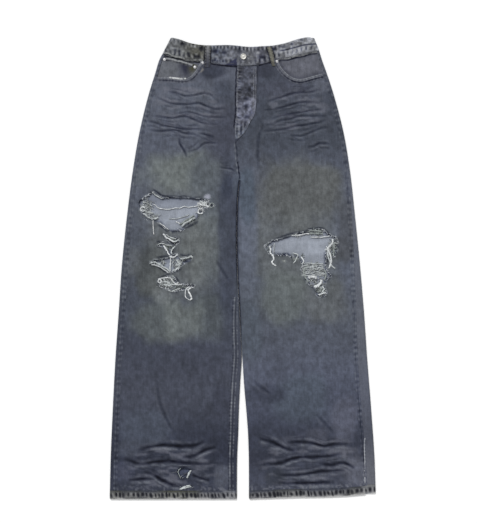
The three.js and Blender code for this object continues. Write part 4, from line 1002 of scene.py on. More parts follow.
# Meshes
def add_mesh(name, points, faces, groups, colours, materials):
    """Mesh of four-sided faces; edges between groups stay crisp."""
    mesh = bpy.data.meshes.new(name)
    mesh.vertices.add(len(points))
    mesh.vertices.foreach_set("co", (points * MM).astype(np.float32).ravel())
    mesh.loops.add(faces.size)
    mesh.loops.foreach_set("vertex_index", faces.astype(np.int32).ravel())
    mesh.polygons.add(len(faces))
    mesh.polygons.foreach_set("loop_start", np.arange(0, faces.size, 4, dtype=np.int32))
    for material in materials:
        mesh.materials.append(material)
    slots = np.minimum(groups, len(materials) - 1)
    slots = np.where(groups == 2, 0, slots)
    mesh.polygons.foreach_set("material_index", slots.astype(np.int32))
    mesh.polygons.foreach_set("use_smooth", np.ones(len(faces), bool))
    mesh.update(calc_edges=True)
    tint = mesh.attributes.new("tint", "FLOAT_COLOR", "POINT")
    rgba = np.concatenate([surface_colour(colours), np.ones((len(points), 1))], axis=1)
    tint.data.foreach_set("color", rgba.astype(np.float32).ravel())
    edge_of = np.zeros(faces.size, np.int32)
    mesh.loops.foreach_get("edge_index", edge_of)
    group_of = np.repeat(groups, 4)
    low, high = np.full(len(mesh.edges), 99), np.full(len(mesh.edges), -1)
    np.minimum.at(low, edge_of, group_of)
    np.maximum.at(high, edge_of, group_of)
    sharp = mesh.attributes.new("sharp_edge", "BOOLEAN", "EDGE")
    sharp.data.foreach_set("value", low != high)
    mesh.validate()
    piece = bpy.data.objects.new(name, mesh)
    bpy.context.scene.collection.objects.link(piece)
    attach(piece, "root")
    return piece


def quads(rows, columns):
    at = np.arange(rows * columns).reshape(rows, columns)
    return np.stack([at[:-1, :-1], at[1:, :-1], at[1:, 1:], at[:-1, 1:]], -1)


def shell(name, outer, inner, outer_colour, inner_colour, materials, keep=None):
    """Closed cloth between two grids of points, with the faces outside "keep" left out."""
    rows, columns = outer.shape[:2]
    count = rows * columns
    faces = quads(rows, columns)
    faces = faces[keep] if keep is not None else faces.reshape(-1, 4)
    points = np.concatenate([outer.reshape(-1, 3), inner.reshape(-1, 3)])
    a, b, c, d = (points[faces[:, index]] for index in range(4))
    out = (points[faces[:, 0]] - points[faces[:, 0] + count])
    if np.sum(np.einsum("ij,ij->i", np.cross(c - a, d - b), out)) < 0:
        faces = faces[:, ::-1]
    starts = faces.ravel()
    ends = np.roll(faces, -1, axis=1).ravel()
    key = np.minimum(starts, ends) * (2 * count) + np.maximum(starts, ends)
    _, where, times = np.unique(key, return_inverse=True, return_counts=True)
    edge = times[where] == 1
    rim = np.stack([ends[edge], starts[edge], starts[edge] + count, ends[edge] + count], -1)
    whole = np.concatenate([faces, faces[:, ::-1] + count, rim])
    groups = np.repeat([0, 1, 2], [len(faces), len(faces), len(rim)])
    colours = np.concatenate([outer_colour.reshape(-1, 3), inner_colour.reshape(-1, 3)])
    used, whole = np.unique(whole, return_inverse=True)
    return add_mesh(name, points[used], whole.reshape(-1, 4), groups, colours[used], materials)


def grid_area(points):
    """Area of a grid of points in square metres."""
    across = points[1:, 1:] - points[:-1, :-1]
    down = points[1:, :-1] - points[:-1, 1:]
    return 0.5 * np.linalg.norm(np.cross(across, down), axis=-1).sum() * MM * MM


def trim(x, y, outline, keep_inside, border):
    """Faces of a grid on one side of an outline, with the points at the cut moved onto it."""
    centre_x = (x[:-1, :-1] + x[1:, :-1] + x[:-1, 1:] + x[1:, 1:]) / 4
    centre_y = (y[:-1, :-1] + y[1:, :-1] + y[:-1, 1:] + y[1:, 1:]) / 4
    keep = contains(centre_x, centre_y, outline) == keep_inside
    padded = np.pad(keep, 1, constant_values=border)
    corners = [padded[:-1, :-1], padded[1:, :-1], padded[:-1, 1:], padded[1:, 1:]]
    rim = np.any(corners, axis=0) & ~np.all(corners, axis=0)
    _, _, _, foot_x, foot_y = near(x[rim], y[rim], outline, closed=True)
    x[rim], y[rim] = foot_x, foot_y
    return keep


def tubes(name, strands, materials, sides=4):
    """One mesh of thin tubes; each strand is (path, radii, colour)."""
    angles = 2 * np.pi * (np.arange(sides) + 0.5) / sides
    points, faces, colours = [], [], []
    first = 0
    for path, radii, colour in strands:
        path = np.asarray(path, float)
        count = len(path)
        way = unit(np.gradient(path, axis=0))
        across = np.cross(way, [0.0, 0.0, 1.0])
        flat = np.linalg.norm(across, axis=1, keepdims=True)
        across = np.where(flat > 0.05, across / np.maximum(flat, 1e-9), [1.0, 0.0, 0.0])
        up = np.cross(across, way)
        radii = np.broadcast_to(np.asarray(radii, float), (count,))[:, None, None]
        ring = across[:, None] * np.cos(angles)[:, None] + up[:, None] * np.sin(angles)[:, None]
        points.append((path[:, None] + radii * ring).reshape(-1, 3))
        at = first + np.arange(count * sides).reshape(count, sides)
        around = np.roll(at, -1, axis=1)
        faces.append(np.stack([at[:-1], around[:-1], around[1:], at[1:]], -1).reshape(-1, 4))
        faces.append(np.stack([at[0][::-1], at[-1]]))
        colours.append(np.broadcast_to(np.asarray(colour, float), (count * sides, 3)))
        first += count * sides
    faces = np.concatenate(faces)
    return add_mesh(
        name, np.concatenate(points), faces, np.zeros(len(faces), int), np.concatenate(colours), materials
    )


def lathe(name, profile, place, colour, materials, turns=40):
    """Round piece turned from a closed profile of (radius, height), on its place."""
    angles = 2 * np.pi * np.arange(turns) / turns
    radius, height = np.array(profile, float).T
    points = np.stack([
        place[0] + radius[:, None] * np.cos(angles), place[1] + radius[:, None] * np.sin(angles),
        place[2] + np.broadcast_to(height[:, None], (len(radius), turns)),
    ], -1)
    at = np.arange(points.size // 3).reshape(len(radius), turns)
    around = np.roll(at, -1, axis=1)
    faces = np.stack([at[:-1], around[:-1], around[1:], at[1:]], -1).reshape(-1, 4)
    colours = np.broadcast_to(np.array(colour, float), (points.size // 3, 3))
    return add_mesh(name, points.reshape(-1, 3), faces, np.zeros(len(faces), int), colours, materials)


# Materials: the twill's pitch in metres and its slant, and lumps to the metre
TWILL_PITCH = 0.0016
TWILL_SLANT = math.radians(27)
WARP_LUMPS = (330, 42, 330)
WEFT_LUMPS = (90, 420, 300)
SPECK_LUMPS = (640, 640, 640)
FADE_LUMPS = (260, 200, 260)
WEAVE_DEPTH = 0.0008


def cloth_material(name, grain, slub, twill, bump, patchy=0.3, roughness=0.93, sheen=0.04):
    """Woven cloth: the painted colour, broken up by twill, slubs and grain; the colour holds the indigo and
    its wear, with painted shade and highlight in places.
    """
    material = bpy.data.materials.new(name)
    material.use_nodes = True
    tree = material.node_tree
    nodes, links = tree.nodes, tree.links
    shader = nodes["Principled BSDF"]
    shader.inputs["Roughness"].default_value = roughness
    shader.inputs["Specular IOR Level"].default_value = 0.15
    shader.inputs["Sheen Weight"].default_value = sheen
    shader.inputs["Sheen Roughness"].default_value = 0.6
    place = nodes.new("ShaderNodeTexCoord")
    painted = nodes.new("ShaderNodeAttribute")
    painted.attribute_name = "tint"

    def mapped(scale, turn=0.0):
        mapping = nodes.new("ShaderNodeMapping")
        mapping.inputs["Scale"].default_value = scale
        mapping.inputs["Rotation"].default_value = (0, 0, turn)
        links.new(place.outputs["Object"], mapping.inputs["Vector"])
        return mapping.outputs["Vector"]

    def lumps(scale, detail):
        texture = nodes.new("ShaderNodeTexNoise")
        texture.inputs["Scale"].default_value = 1.0
        texture.inputs["Detail"].default_value = detail
        texture.inputs["Roughness"].default_value = 0.6
        links.new(mapped(scale), texture.inputs["Vector"])
        return texture.outputs["Fac"]

    def maths(operation, first, second, third=None):
        node = nodes.new("ShaderNodeMath")
        node.operation = operation
        for socket, value in zip(node.inputs, (first, second, third)):
            if isinstance(value, bpy.types.NodeSocket):
                links.new(value, socket)
            elif value is not None:
                socket.default_value = value
        return node.outputs[0]

    wave = nodes.new("ShaderNodeTexWave")
    wave.inputs["Scale"].default_value = 0.314 / TWILL_PITCH
    wave.inputs["Distortion"].default_value = 1.4
    wave.inputs["Detail"].default_value = 1.0
    links.new(mapped((1, 1, 1), TWILL_SLANT), wave.inputs["Vector"])
    warp = lumps(WARP_LUMPS, 2.0)
    weft = lumps(WEFT_LUMPS, 2.0)
    speck = lumps(SPECK_LUMPS, 1.0)
    fade = lumps(FADE_LUMPS, 3.0)
    parts = [(warp, slub), (weft, slub * 0.5), (speck, grain), (fade, patchy), (wave.outputs["Fac"], twill)]
    factor = 1.0 - sum(0.5 * amount for _, amount in parts)
    for value, amount in parts:
        factor = maths("MULTIPLY_ADD", value, amount, factor)
    scaled = nodes.new("ShaderNodeVectorMath")
    scaled.operation = "SCALE"
    links.new(painted.outputs["Color"], scaled.inputs[0])
    links.new(factor, scaled.inputs["Scale"])
    links.new(scaled.outputs["Vector"], shader.inputs["Base Color"])
    height = maths("MULTIPLY_ADD", wave.outputs["Fac"], 0.5, maths("MULTIPLY", warp, 1.2))
    height = maths("MULTIPLY_ADD", speck, 0.7, height)
    relief = nodes.new("ShaderNodeBump")
    relief.inputs["Strength"].default_value = bump
    relief.inputs["Distance"].default_value = WEAVE_DEPTH
    links.new(height, relief.inputs["Height"])
    links.new(relief.outputs["Normal"], shader.inputs["Normal"])
    return material


def metal_material():
    """Dull nickel, scuffed."""
    material = cloth_material("nickel", 0.14, 0.05, 0.0, 0.08, roughness=0.5, sheen=0.0)
    shader = material.node_tree.nodes["Principled BSDF"]
    shader.inputs["Metallic"].default_value = 0.6
    shader.inputs["Specular IOR Level"].default_value = 0.5
    return material


DENIM = cloth_material("denim", 0.6, 0.5, 0.22, 0.55, 0.45)
WORN = cloth_material("denim_worn", 0.6, 0.6, 0.22, 0.7, 0.45)
INSIDE = cloth_material("denim_inside", 0.3, 0.35, 0.2, 0.5)
YARN = cloth_material("yarn", 0.3, 0.2, 0.0, 0.4, sheen=0.1)
NICKEL = metal_material()

# Pieces of cloth, as they are laid
LAID = []


def finish_cloth(piece, node, area):
    """Cloth in place of a node; the size of the cut that shows (area) is not used."""
    LAID.append(piece)
    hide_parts(node)


# Front panels, cut through at the rips and the pocket mouths
FRONT_ROWS = 348
FRONT_COLUMNS = 100
PUCKER_PITCH = 13.5


def mouth(leg):
    """Outline of what a pocket mouth cuts away."""
    first, last = leg["scoop"][0], leg["scoop"][-1]
    far = last[0] + leg["side"] * SCOOP_CLEAR
    high = first[1] + SCOOP_CLEAR
    return np.concatenate([rounded(leg["scoop"], 2.5), [(far, last[1]), (far, high), (first[0], high)]])


def seam_wear(x, start, y, seed):
    """Puckers beside a long seam: height, dark share and pale share."""
    close = hump(x - start, 5.0)
    wave = stripes(y, PUCKER_PITCH, seed) * smooth(noise(y, 0 * y, 70.0, 1.0, seed + 2), 0.15, 0.7)
    return 0.6 * close * wave, close * np.clip(-wave, 0, 1), close * np.clip(wave, 0, 1)


def front_panel(label, leg):
    hem_top = lambda x: hem_seam(leg, x)
    outer, inner, free = front_grid(leg, waist_seam, hem_top, FRONT_ROWS, FRONT_COLUMNS, CLOTH, FOLD_RADIUS)
    area = grid_area(outer)
    x, y = outer[..., 0].copy(), outer[..., 1].copy()
    keep = trim(x, y, mouth(leg), False, True)
    for name in leg["rips"]:
        keep &= trim(x, y, TORN[name], False, True)
    moved_x, moved_y = x - outer[..., 0], y - outer[..., 1]
    height, dark, pale, gap = front_relief(x, y, leg["rips"])
    pucker, low, high = seam_wear(x, side_seam(leg, y), y, 71)
    near_scoop = near(x, y, rounded(leg["scoop"], 4.0))[0]
    edge = np.exp(-((near_scoop / 9.0) ** 4))
    lift = under(x, y) * (free > 0) + free * (height * (1 - 0.8 * edge) + 0.5 * edge)
    lift += pucker * smooth(free, 0, 0.2)
    for face in (outer, inner):
        face[..., 0] += moved_x
        face[..., 1] += moved_y
        face[..., 2] += lift
    dark, pale = np.maximum(dark * free, 0.35 * low), np.maximum(pale * free, 0.35 * high)
    colour = front_colour(x, y, leg["tones"], dark, pale, gap)
    colour = blended(colour, MOUTH_TONE, 0.55 * np.exp(-near_scoop / 1.6))
    # Painted shade along the inner edge, where the legs meet
    leg_gap_shade = smooth(y, -200, -120) * hump(x - leg["inner"](y), 2.6)
    colour = darkened(colour, 0.7 * leg_gap_shade * (y < CROTCH))
    above_hem = np.clip(y - hem_top(x), 0, None)
    flecks = hump(above_hem, 12.0) * smooth(noise(x, y, 4.5, 3.6, 38), 0.5, 0.8)
    colour = blended(colour, FLECK_TONE, 0.6 * flecks)
    piece = shell(f"panel_front_{label}", outer, inner, colour, inside_colour(x, y), [DENIM, INSIDE], keep)
    finish_cloth(piece, f"front_{label}", area)


for label, leg in LEGS.items():
    front_panel(label, leg)

# Back panels and yokes: the inner face shows in the rips, the turned side beside the front
BACK_COLUMNS = 62
BACK_ROWS = 200
YOKE_ROWS = 20
BACK_CREASES = [
    [(-240, 40), (-180, 26), (-110, 32), (-40, 48)], [(-230, -6), (-160, -18), (-80, -8)],
    [(-250, 92), (-170, 74), (-70, 88)], [(-210, 190), (-130, 176), (-50, 196)],
    [(50, 46), (120, 30), (200, 38)], [(60, -4), (140, -20), (230, -6)], [(70, 92), (160, 76), (240, 92)],
    [(40, 192), (120, 176), (210, 196)], [(-280, -430), (-180, -446), (-60, -436)],
    [(60, -440), (170, -452), (280, -436)], [(-270, -480), (-150, -492), (-50, -482)],
    [(50, -486), (150, -496), (270, -482)],
]


def back_piece(name, leg, top, bottom, rows):
    """Panel or yoke, with its area."""
    outer, inner, free = back_grid(leg, top, bottom, rows, BACK_COLUMNS, CLOTH, FOLD_RADIUS)
    area = grid_area(outer)
    x, y = outer[..., 0], outer[..., 1]
    height, dark, pale = crease_fields(x, y, [(BACK_CREASES, 6.0, 1.0, 0.8)])
    turned = smooth(outer[..., 2], FOLD_RADIUS, TOP)
    pucker, low, high = seam_wear(x, side_seam(leg, y), y, 72)
    lift = under(x, y) * (turned == 0) + free * np.clip(-height, 0, 1.2) + turned * pucker
    outer[..., 2] += lift
    inner[..., 2] += lift
    alike = (tones(y, RIGHT_TONES) + tones(y, LEFT_TONES)) / 2
    colour = mottled(lerp(alike, tones(y, leg["tones"]), turned[..., None]), x, y, 0.2)
    # Creases on the back: indigo and wear, with painted shade in the troughs and painted highlight on the
    # crests
    colour = colour * (1 - 0.3 * dark)[..., None]
    colour = blended(colour, BACK_CREST_TONE, 0.35 * pale + 0.5 * turned * high)
    colour = colour * (1 - 0.5 * turned * low)[..., None]
    if leg is LEFT_LEG:
        colour = blended(colour, TURNED_TONE, (0.35 + 0.4 * smooth(-y, 380, 500)) * turned)
    inside = inside_colour(inner[..., 0], inner[..., 1])
    return shell(name, outer, inner, colour, inside, [DENIM, INSIDE]), area


def back_leg(label, leg):
    below_yoke = lambda x: yoke_seam(x) - SEAM_GAP / 2
    panel, area = back_piece(f"panel_back_{label}", leg, below_yoke, lambda x: hem_seam(leg, x), BACK_ROWS)
    finish_cloth(panel, f"back_{label}", area)
    yoke_low = lambda x: yoke_seam(x) + SEAM_GAP / 2
    panel, area = back_piece(f"panel_yoke_{label}", leg, back_waist_seam, yoke_low, YOKE_ROWS)
    finish_cloth(panel, f"yoke_{label}", area)


for label, leg in LEGS.items():
    back_leg(label, leg)


# Hems: turned edges, drawn into dark pits between pale ridges
HEM_ROWS = 18
HEM_COLUMNS = 220
HEM_PITCH = 9.6
HEM_PATCHES = [
    (-145, 44, (68, 70, 58), 0.75), (-33, 17, (140, 142, 147), 0.6), (302, 18, (146, 147, 150), 0.6),
    (110, 40, (70, 72, 66), 0.5), (-275, 40, (72, 74, 68), 0.4),
]


def hem_pits(x, up):
    """Share of each point that lies in a pit, and how pale the ridges and the lower rim are."""
    wander = 0.9 * noise(x, 0 * x, 60.0, 1.0, 80) + 0.5 * noise(x, 0 * x, 19.0, 1.0, 88)
    slanted = x / HEM_PITCH + wander + 0.02 * up
    cell = np.floor(slanted)
    own = [noise(cell, 0 * cell, 1.0, 1.0, seed) for seed in (81, 82, 83, 84)]
    wide = 0.17 + 0.24 * own[1]
    across = (slanted - cell - 0.5 - 0.3 * (own[0] - 0.5) - 0.03 * (up - 8) * (own[2] - 0.3)) / wide
    along = (up - 6.5 - 4.0 * own[2]) / (3.8 + 4.0 * own[3])
    pit = np.exp(-((across**2 + along**2) ** 1.5)) * (0.55 + 0.55 * own[0])
    ridge = np.exp(-(((up - 8.5) / 7.0) ** 4)) * (1 - pit) * (0.15 + noise(x, up, 4.0, 6.0, 85))
    rim = hump(up, 4.2) * smooth(noise(x, up, 14.0, 5.0, 86), 0.2, 0.7)
    return pit, ridge, rim


def hem_colour(x, y, pit, ridge, rim, up):
    base = blended(even(HEM_TONE, x), HEM_BLUE, smooth(up, 9, 16))
    base = mottled(base, x, y, 0.34)
    base = blended(base, HEM_STAIN, 0.6 * smooth(noise(x, y, 44.0, 30.0, 87), 0.55, 0.8))
    for middle, half, tint, share in HEM_PATCHES:
        base = blended(base, tint, share * (1 - smooth(np.abs(x - middle), 0.6 * half, 1.2 * half)))
    base = blended(base, HEM_RIDGE, 0.75 * ridge)
    base = blended(base, HEM_RIM, 0.95 * rim)
    return blended(base, HEM_PIT, 1.3 * pit)


def turned_hem(face, label, leg, grid):
    top = lambda x: leg["hem"](x) + HEM_HEIGHT
    outer, inner, free = grid(leg, top, leg["hem"], HEM_ROWS, HEM_COLUMNS, HEM_CLOTH, HEM_RADIUS)
    area = grid_area(outer)
    x, y = outer[..., 0], outer[..., 1]
    up = y - leg["hem"](x)
    pit, ridge, rim = hem_pits(x, up)
    height = 0.5 * ridge - 0.8 * pit
    if face == "front":
        outer[..., 2] += np.where(free > 0, height, 0)
    else:
        turned = smooth(outer[..., 2], HEM_RADIUS, 2 * HEM_RADIUS)
        outer[..., 2] += np.where(free > 0, 0.4 * np.clip(-height, 0, 1), turned * height)
    colour = hem_colour(x, y, pit, ridge, rim, up)
    piece = shell(f"turned_hem_{face}_{label}", outer, inner, colour, inside_colour(x, y), [WORN, INSIDE])
    finish_cloth(piece, f"hem_{face}_{label}", area)


for label, leg in LEGS.items():
    turned_hem("front", label, leg, front_grid)
    turned_hem("back", label, leg, back_grid)


# Waistband, with puckers along both edges
BAND_ROWS = 36
BAND_COLUMNS = 130
BAND_TONES = [
    (-190, 116, 118, 122), (-150, 99, 101, 103), (-110, 88, 88, 82), (-92, 86, 86, 82),
    (-70, 98, 102, 112), (-30, 95, 98, 108), (20, 98, 100, 107), (46, 84, 86, 97), (70, 106, 108, 114),
    (120, 136, 138, 144), (185, 135, 137, 143),
]
# Outline of the painted shade where the band folds, beside the fly
FOLD_SHADE = [(-48, 485), (-35, 491), (-15, 504), (-13.4, 484)]
BAND_BLOTS = [
    ((-99, 526), (6, 7), -0.9), ((-66, 520), (8, 5), -1.0), ((-45, 517), (6, 4), -0.8),
    ((-72, 497), (3, 4), -0.8), ((-61, 496), (2.5, 3), -0.8), ((-47, 496), (2.5, 4), -0.8),
    ((-110, 506), (5, 5), -0.8), ((-131, 514), (4, 5), -0.7), ((-162, 522), (3, 4), -0.7),
    ((-152, 520), (3, 5), -0.7), ((-144, 538), (6, 4), -0.8), ((-116, 531), (5, 3), 0.7),
    ((-112, 513), (4, 2.5), 0.6), ((-64, 507), (6, 3), 0.6), ((-40, 503), (8, 4), 0.5),
    ((-28, 512), (5, 8), 0.4), ((36, 516), (5, 3.5), 0.9), ((47, 506), (8, 4), -0.9),
    ((33, 507), (1.2, 5), 0.7), ((56, 508), (2, 5), 0.5), ((74, 525), (5, 4), -1.0),
    ((60, 522), (3, 6), -0.8), ((-8, 522), (5, 8), -0.5), ((118, 537), (4, 3), -0.7),
    ((141, 547), (4, 3), -0.6), ((168, 540), (10, 5), 0.4), ((96, 531), (10, 3), -0.5),
]


def blots(x, y, table):
    """Dark share and pale share of spots: middle, half size, strength from dark -1 to pale 1."""
    dark, pale = np.zeros(x.shape), np.zeros(x.shape)
    for (cx, cy), (wide, tall), strength in table:
        blot = np.exp(-((((x - cx) / wide) ** 2 + ((y - cy) / tall) ** 2) ** 1.3))
        dark += max(-strength, 0) * blot
        pale += max(strength, 0) * blot
    return dark, pale


def band_marks(x, y, down, whole):
    """Height, dark share and pale share on the band, "down" from its top edge."""
    up = whole - down
    left_part = smooth(x, 84, 96)
    ticked = smooth(x, -80, -72) * (1 - 0.8 * left_part) + 0.45 * (1 - smooth(x, -80, -72))
    top_edge = hump(down - 5.0, 4.0) * stripes(x, 9.4, 91) * ticked
    low_edge = stripes(x + 3 * noise(x, y, 9.0, 6.0, 98), 11.8, 93) * hump(up - 9.0 - 3 * left_part, 5.0)
    low_edge = low_edge * (1 - 0.75 * hump(x - 14, 24.0)) * (0.45 + 0.8 * noise(x, y, 16.0, 12.0, 99))
    roll = np.exp(-down / 1.0) + np.exp(-up / 1.0)
    split = hump(down - 0.46 * whole, 1.7) * left_part
    lumps = noise(x, y, 9.0, 7.0, 95) - 0.5
    dark = 0.9 * np.clip(-top_edge, 0, 1) + 0.9 * np.clip(-low_edge, 0, 1) + 0.85 * split
    pale = 1.1 * np.clip(top_edge, 0, 1) + 0.7 * np.clip(low_edge, 0, 1)
    pale = pale + 0.6 * hump(down - 0.46 * whole - 4, 2.0) * left_part
    blot_dark, blot_pale = blots(x, y, BAND_BLOTS)
    dark, pale = dark + blot_dark, pale + blot_pale
    # Painted shadow on the band beside each front loop
    for loop in LOOPS_FRONT.values():
        (top_x, top_y), (low_x, low_y) = loop["top"], loop["bottom"]
        off = np.abs(x - lerp(low_x, top_x, (y - low_y) / (top_y - low_y))) - loop["width"] / 2
        dark = dark + 0.9 * hump(off, 2.4) * (down > 4)
    dark = np.clip(dark, 0, 1)
    pale = np.clip(pale, 0, 1) * (1 - dark)
    height = 0.55 * pale - 0.6 * dark - 0.7 * roll + 0.7 * lumps
    return height, dark, pale


def band_colour(x, y, dark, pale):
    colour = tones(x, BAND_TONES)
    blotch = noise(x, y, 9.0, 7.0, 96) + 0.9 * noise(x, y, 4.0, 4.0, 97) - 0.95
    colour = colour * (1 + 0.5 * blotch)[..., None]
    colour = blended(colour, BAND_RIDGE, 0.75 * pale)
    colour = darkened(colour, 0.68 * dark)
    # Painted shade inside the band's fold
    fold = contains(x, y, np.array(FOLD_SHADE, float))
    return np.where(fold[..., None], mottled(even(FOLD_SHADE_TONE, x), x, y, 0.3), colour)


def waistband_front(label, leg):
    side = leg["side"]
    t = np.linspace(0, 1, BAND_ROWS)[:, None]
    seam = lambda y: leg["outer"](y) - side * (BAND_RADIUS + leg["wrap"](y) + SEAM_GAP / 2)
    start, _ = meet(seam, WAIST_TOP, WAIST_BOTTOM, t)
    end, _ = meet(CENTRE_FRONT, WAIST_TOP, WAIST_BOTTOM, t)
    x = lerp(start, end + side * SEAM_GAP / 2, np.linspace(0, 1, BAND_COLUMNS))
    y = lerp(WAIST_TOP(x), WAIST_BOTTOM(x), t)
    outer, inner = flat_pair(x, y, BAND_TOP, BAND_CLOTH)
    area = grid_area(outer)
    height, dark, pale = band_marks(x, y, WAIST_TOP(x) - y, WAIST_TOP(x) - WAIST_BOTTOM(x))
    outer[..., 2] += height
    colour = band_colour(x, y, dark, pale)
    piece = shell(f"band_front_{label}", outer, inner, colour, inside_colour(x, y), [WORN, INSIDE])
    finish_cloth(
        piece, f"waistband_front_{label}", area
    )


def waistband_back():
    t = np.linspace(0, 1, BAND_ROWS)[:, None]
    ends = []
    for leg in (RIGHT_LEG, LEFT_LEG):
        edge_x, edge_y = meet(leg["outer"], WAIST_TOP, WAIST_BACK, t)
        seam = np.pi * BAND_RADIUS + leg["wrap"](edge_y) - SEAM_GAP / 2
        share = np.linspace(1, 0, WRAP_COLUMNS + 1)[:-1]
        ends.append((edge_x, fold_pair(edge_x, leg["side"], seam * share, edge_y, BAND_RADIUS, BAND_CLOTH)))
    (right_x, right), (left_x, left) = ends
    x = lerp(right_x + BAND_RADIUS, left_x - BAND_RADIUS, np.linspace(0, 1, 2 * BAND_COLUMNS))
    y = lerp(WAIST_TOP(x), WAIST_BACK(x), t)
    past = np.min([np.abs(x - middle) for middle in LOOPS_BACK.values()], axis=0) - LOOP_BACK_WIDTH / 2
    raised = (LOOP_BACK_CLOTH + LIFT) * (1 - smooth(past - LIFT_MARGIN, 0, LIFT_RAMP))
    level = flat_pair(x, y, raised, -BAND_CLOTH)
    outer, inner = (
        np.concatenate([a, b, c[:, ::-1]], axis=1) for a, b, c in zip(right, level, left)
    )
    area = grid_area(outer)
    x, y = outer[..., 0], outer[..., 1]
    height, dark, pale = band_marks(x, y, WAIST_TOP(x) - y, WAIST_TOP(x) - WAIST_BACK(x))
    turned = smooth(outer[..., 2], BAND_RADIUS, BAND_TOP)
    outer[..., 2] += np.where(turned > 0, turned * height, np.clip(-0.5 * height, 0, 0.8))
    colour = band_colour(x, y, dark, pale)
    piece = shell("band_back", outer, inner, colour, inside_colour(x, y), [WORN, INSIDE])
    finish_cloth(piece, "waistband_back", area)


for label, leg in LEGS.items():
    waistband_front(label, leg)
waistband_back()


# Small cloth pieces cut from a grid
PATCH_STEP = 2.6


def patch(outline):
    """Grid trimmed to an outline: its x, y and the faces that are kept."""
    outline = np.array(outline, float)
    low, high = outline.min(axis=0) - PATCH_STEP, outline.max(axis=0) + PATCH_STEP
    count = np.ceil((high - low) / PATCH_STEP).astype(int)
    x, y = np.meshgrid(np.linspace(low[0], high[0], count[0]), np.linspace(low[1], high[1], count[1]))
    keep = trim(x, y, outline, True, False)
    return x, y, keep


def facing(label, leg):
    scoop = leg["scoop"]
    side = lambda y: side_seam(leg, y, 2 * SEAM_GAP)
    first, last = scoop[0], scoop[-1]
    moved = []
    for index, (x, y) in enumerate(scoop[:-1]):
        share = index / (len(scoop) - 1)
        moved.append((x - leg["side"] * SCOOP_OVERLAP * (1 - share), y - SCOOP_OVERLAP * share))
    low = last[1] - SCOOP_OVERLAP
    heights = np.linspace(low, meet(side, waist_seam, waist_seam, 0.0)[1], 6)
    outline = moved[1:] + [(float(side(height)), height) for height in heights]
    for x in np.linspace(outline[-1][0], first[0] - leg["side"] * SCOOP_OVERLAP, 12)[1:]:
        outline.append((x, float(waist_seam(x))))
    x, y, keep = patch(outline)
    lumps = 0.3 * noise(x, y, 30.0, 16.0, 101)
    outer, inner = flat_pair(x, y, FACING_LOW + CLOTH + lumps, CLOTH)
    colour = mottled(even(FACING_TONE, x), x, y, 0.3)
    below_band = waist_seam(x) - y
    gap = near(x, y, rounded(scoop, 4.0))[0]
    # Painted shade just under the band and along the pocket mouth's edge
    dark = np.maximum(0.6 * hump(below_band, 4.5), 0.16 * hump(gap - 3, 4.0))
    colour = darkened(colour, dark)
    piece = shell(f"facing_{label}", outer, inner, colour, inside_colour(x, y), [DENIM, INSIDE], keep)
    area = outline_area(outline)
    finish_cloth(piece, f"pocket_facing_{label}", area)


def outline_area(outline):
    x, y = np.array(outline, float).T
    return abs(np.sum(x * np.roll(y, -1) - y * np.roll(x, -1))) / 2 * MM * MM


def coin_pocket():
    side = lambda y: side_seam(RIGHT_LEG, y, COIN_CLEAR)
    inside = [(x - SEAM_GAP, y + SEAM_GAP) for x, y in SCOOP_RIGHT[2:-1]]
    low = SCOOP_RIGHT[-1][1] + SEAM_GAP
    corner, corner_y = meet(side, coin_edge, coin_edge, 0.0)
    heights = np.linspace(low, corner_y, 6)
    top = [(x, float(coin_edge(x))) for x in np.linspace(corner, inside[0][0], 16)[1:]]
    outline = inside + [(float(side(height)), height) for height in heights] + top
    x, y, keep = patch(outline)
    down = coin_edge(x) - y
    wave = stripes(x, 9.0, 103) * hump(down - 3, 4)
    hem = np.exp(-((down - 3) / 4.0) ** 4)
    lift = 0.35 * hem + 0.4 * wave + 0.3 * noise(x, y, 26.0, 14.0, 104)
    outer, inner = flat_pair(x, y, FACING_LOW + 2 * CLOTH + LIFT + lift, CLOTH)
    colour = mottled(even(COIN_TONE, x), x, y, 0.3)
    # Painted shade in the right part of the pocket mouth
    mouth_shade = hump(x + 138, 13.0) * hump(y - 479, 19.0)
    colour = blended(colour, COIN_MOUTH_SHADE, 1.1 * mouth_shade * (0.6 + 0.6 * noise(x, y, 6.0, 9.0, 115)))
    dirty = hump(x + 121, 9.0) * hump(y - 481, 12.0)
    colour = blended(colour, COIN_DIRT, 1.1 * dirty)
    piece = shell("pouch_coin", outer, inner, colour, inside_colour(x, y), [DENIM, INSIDE], keep)
    finish_cloth(piece, "coin_pocket", outline_area(outline))


FLY_BLOTS = [
    ((8, 406), (6, 4), -0.9), ((8, 388), (6, 5), -0.9), ((10, 363), (7, 5), -0.8),
    ((-9, 336), (3, 16), 0.9), ((-4, 330), (2.4, 14), -0.8), ((1, 338), (2, 12), 0.6),
    ((6, 344), (3, 9), -0.7), ((14, 428), (6, 5), -0.6), ((20, 448), (8, 5), 0.5),
    ((24, 400), (5, 12), 0.35), ((-10, 312), (3, 8), 0.7), ((22, 372), (6, 8), -0.5),
]


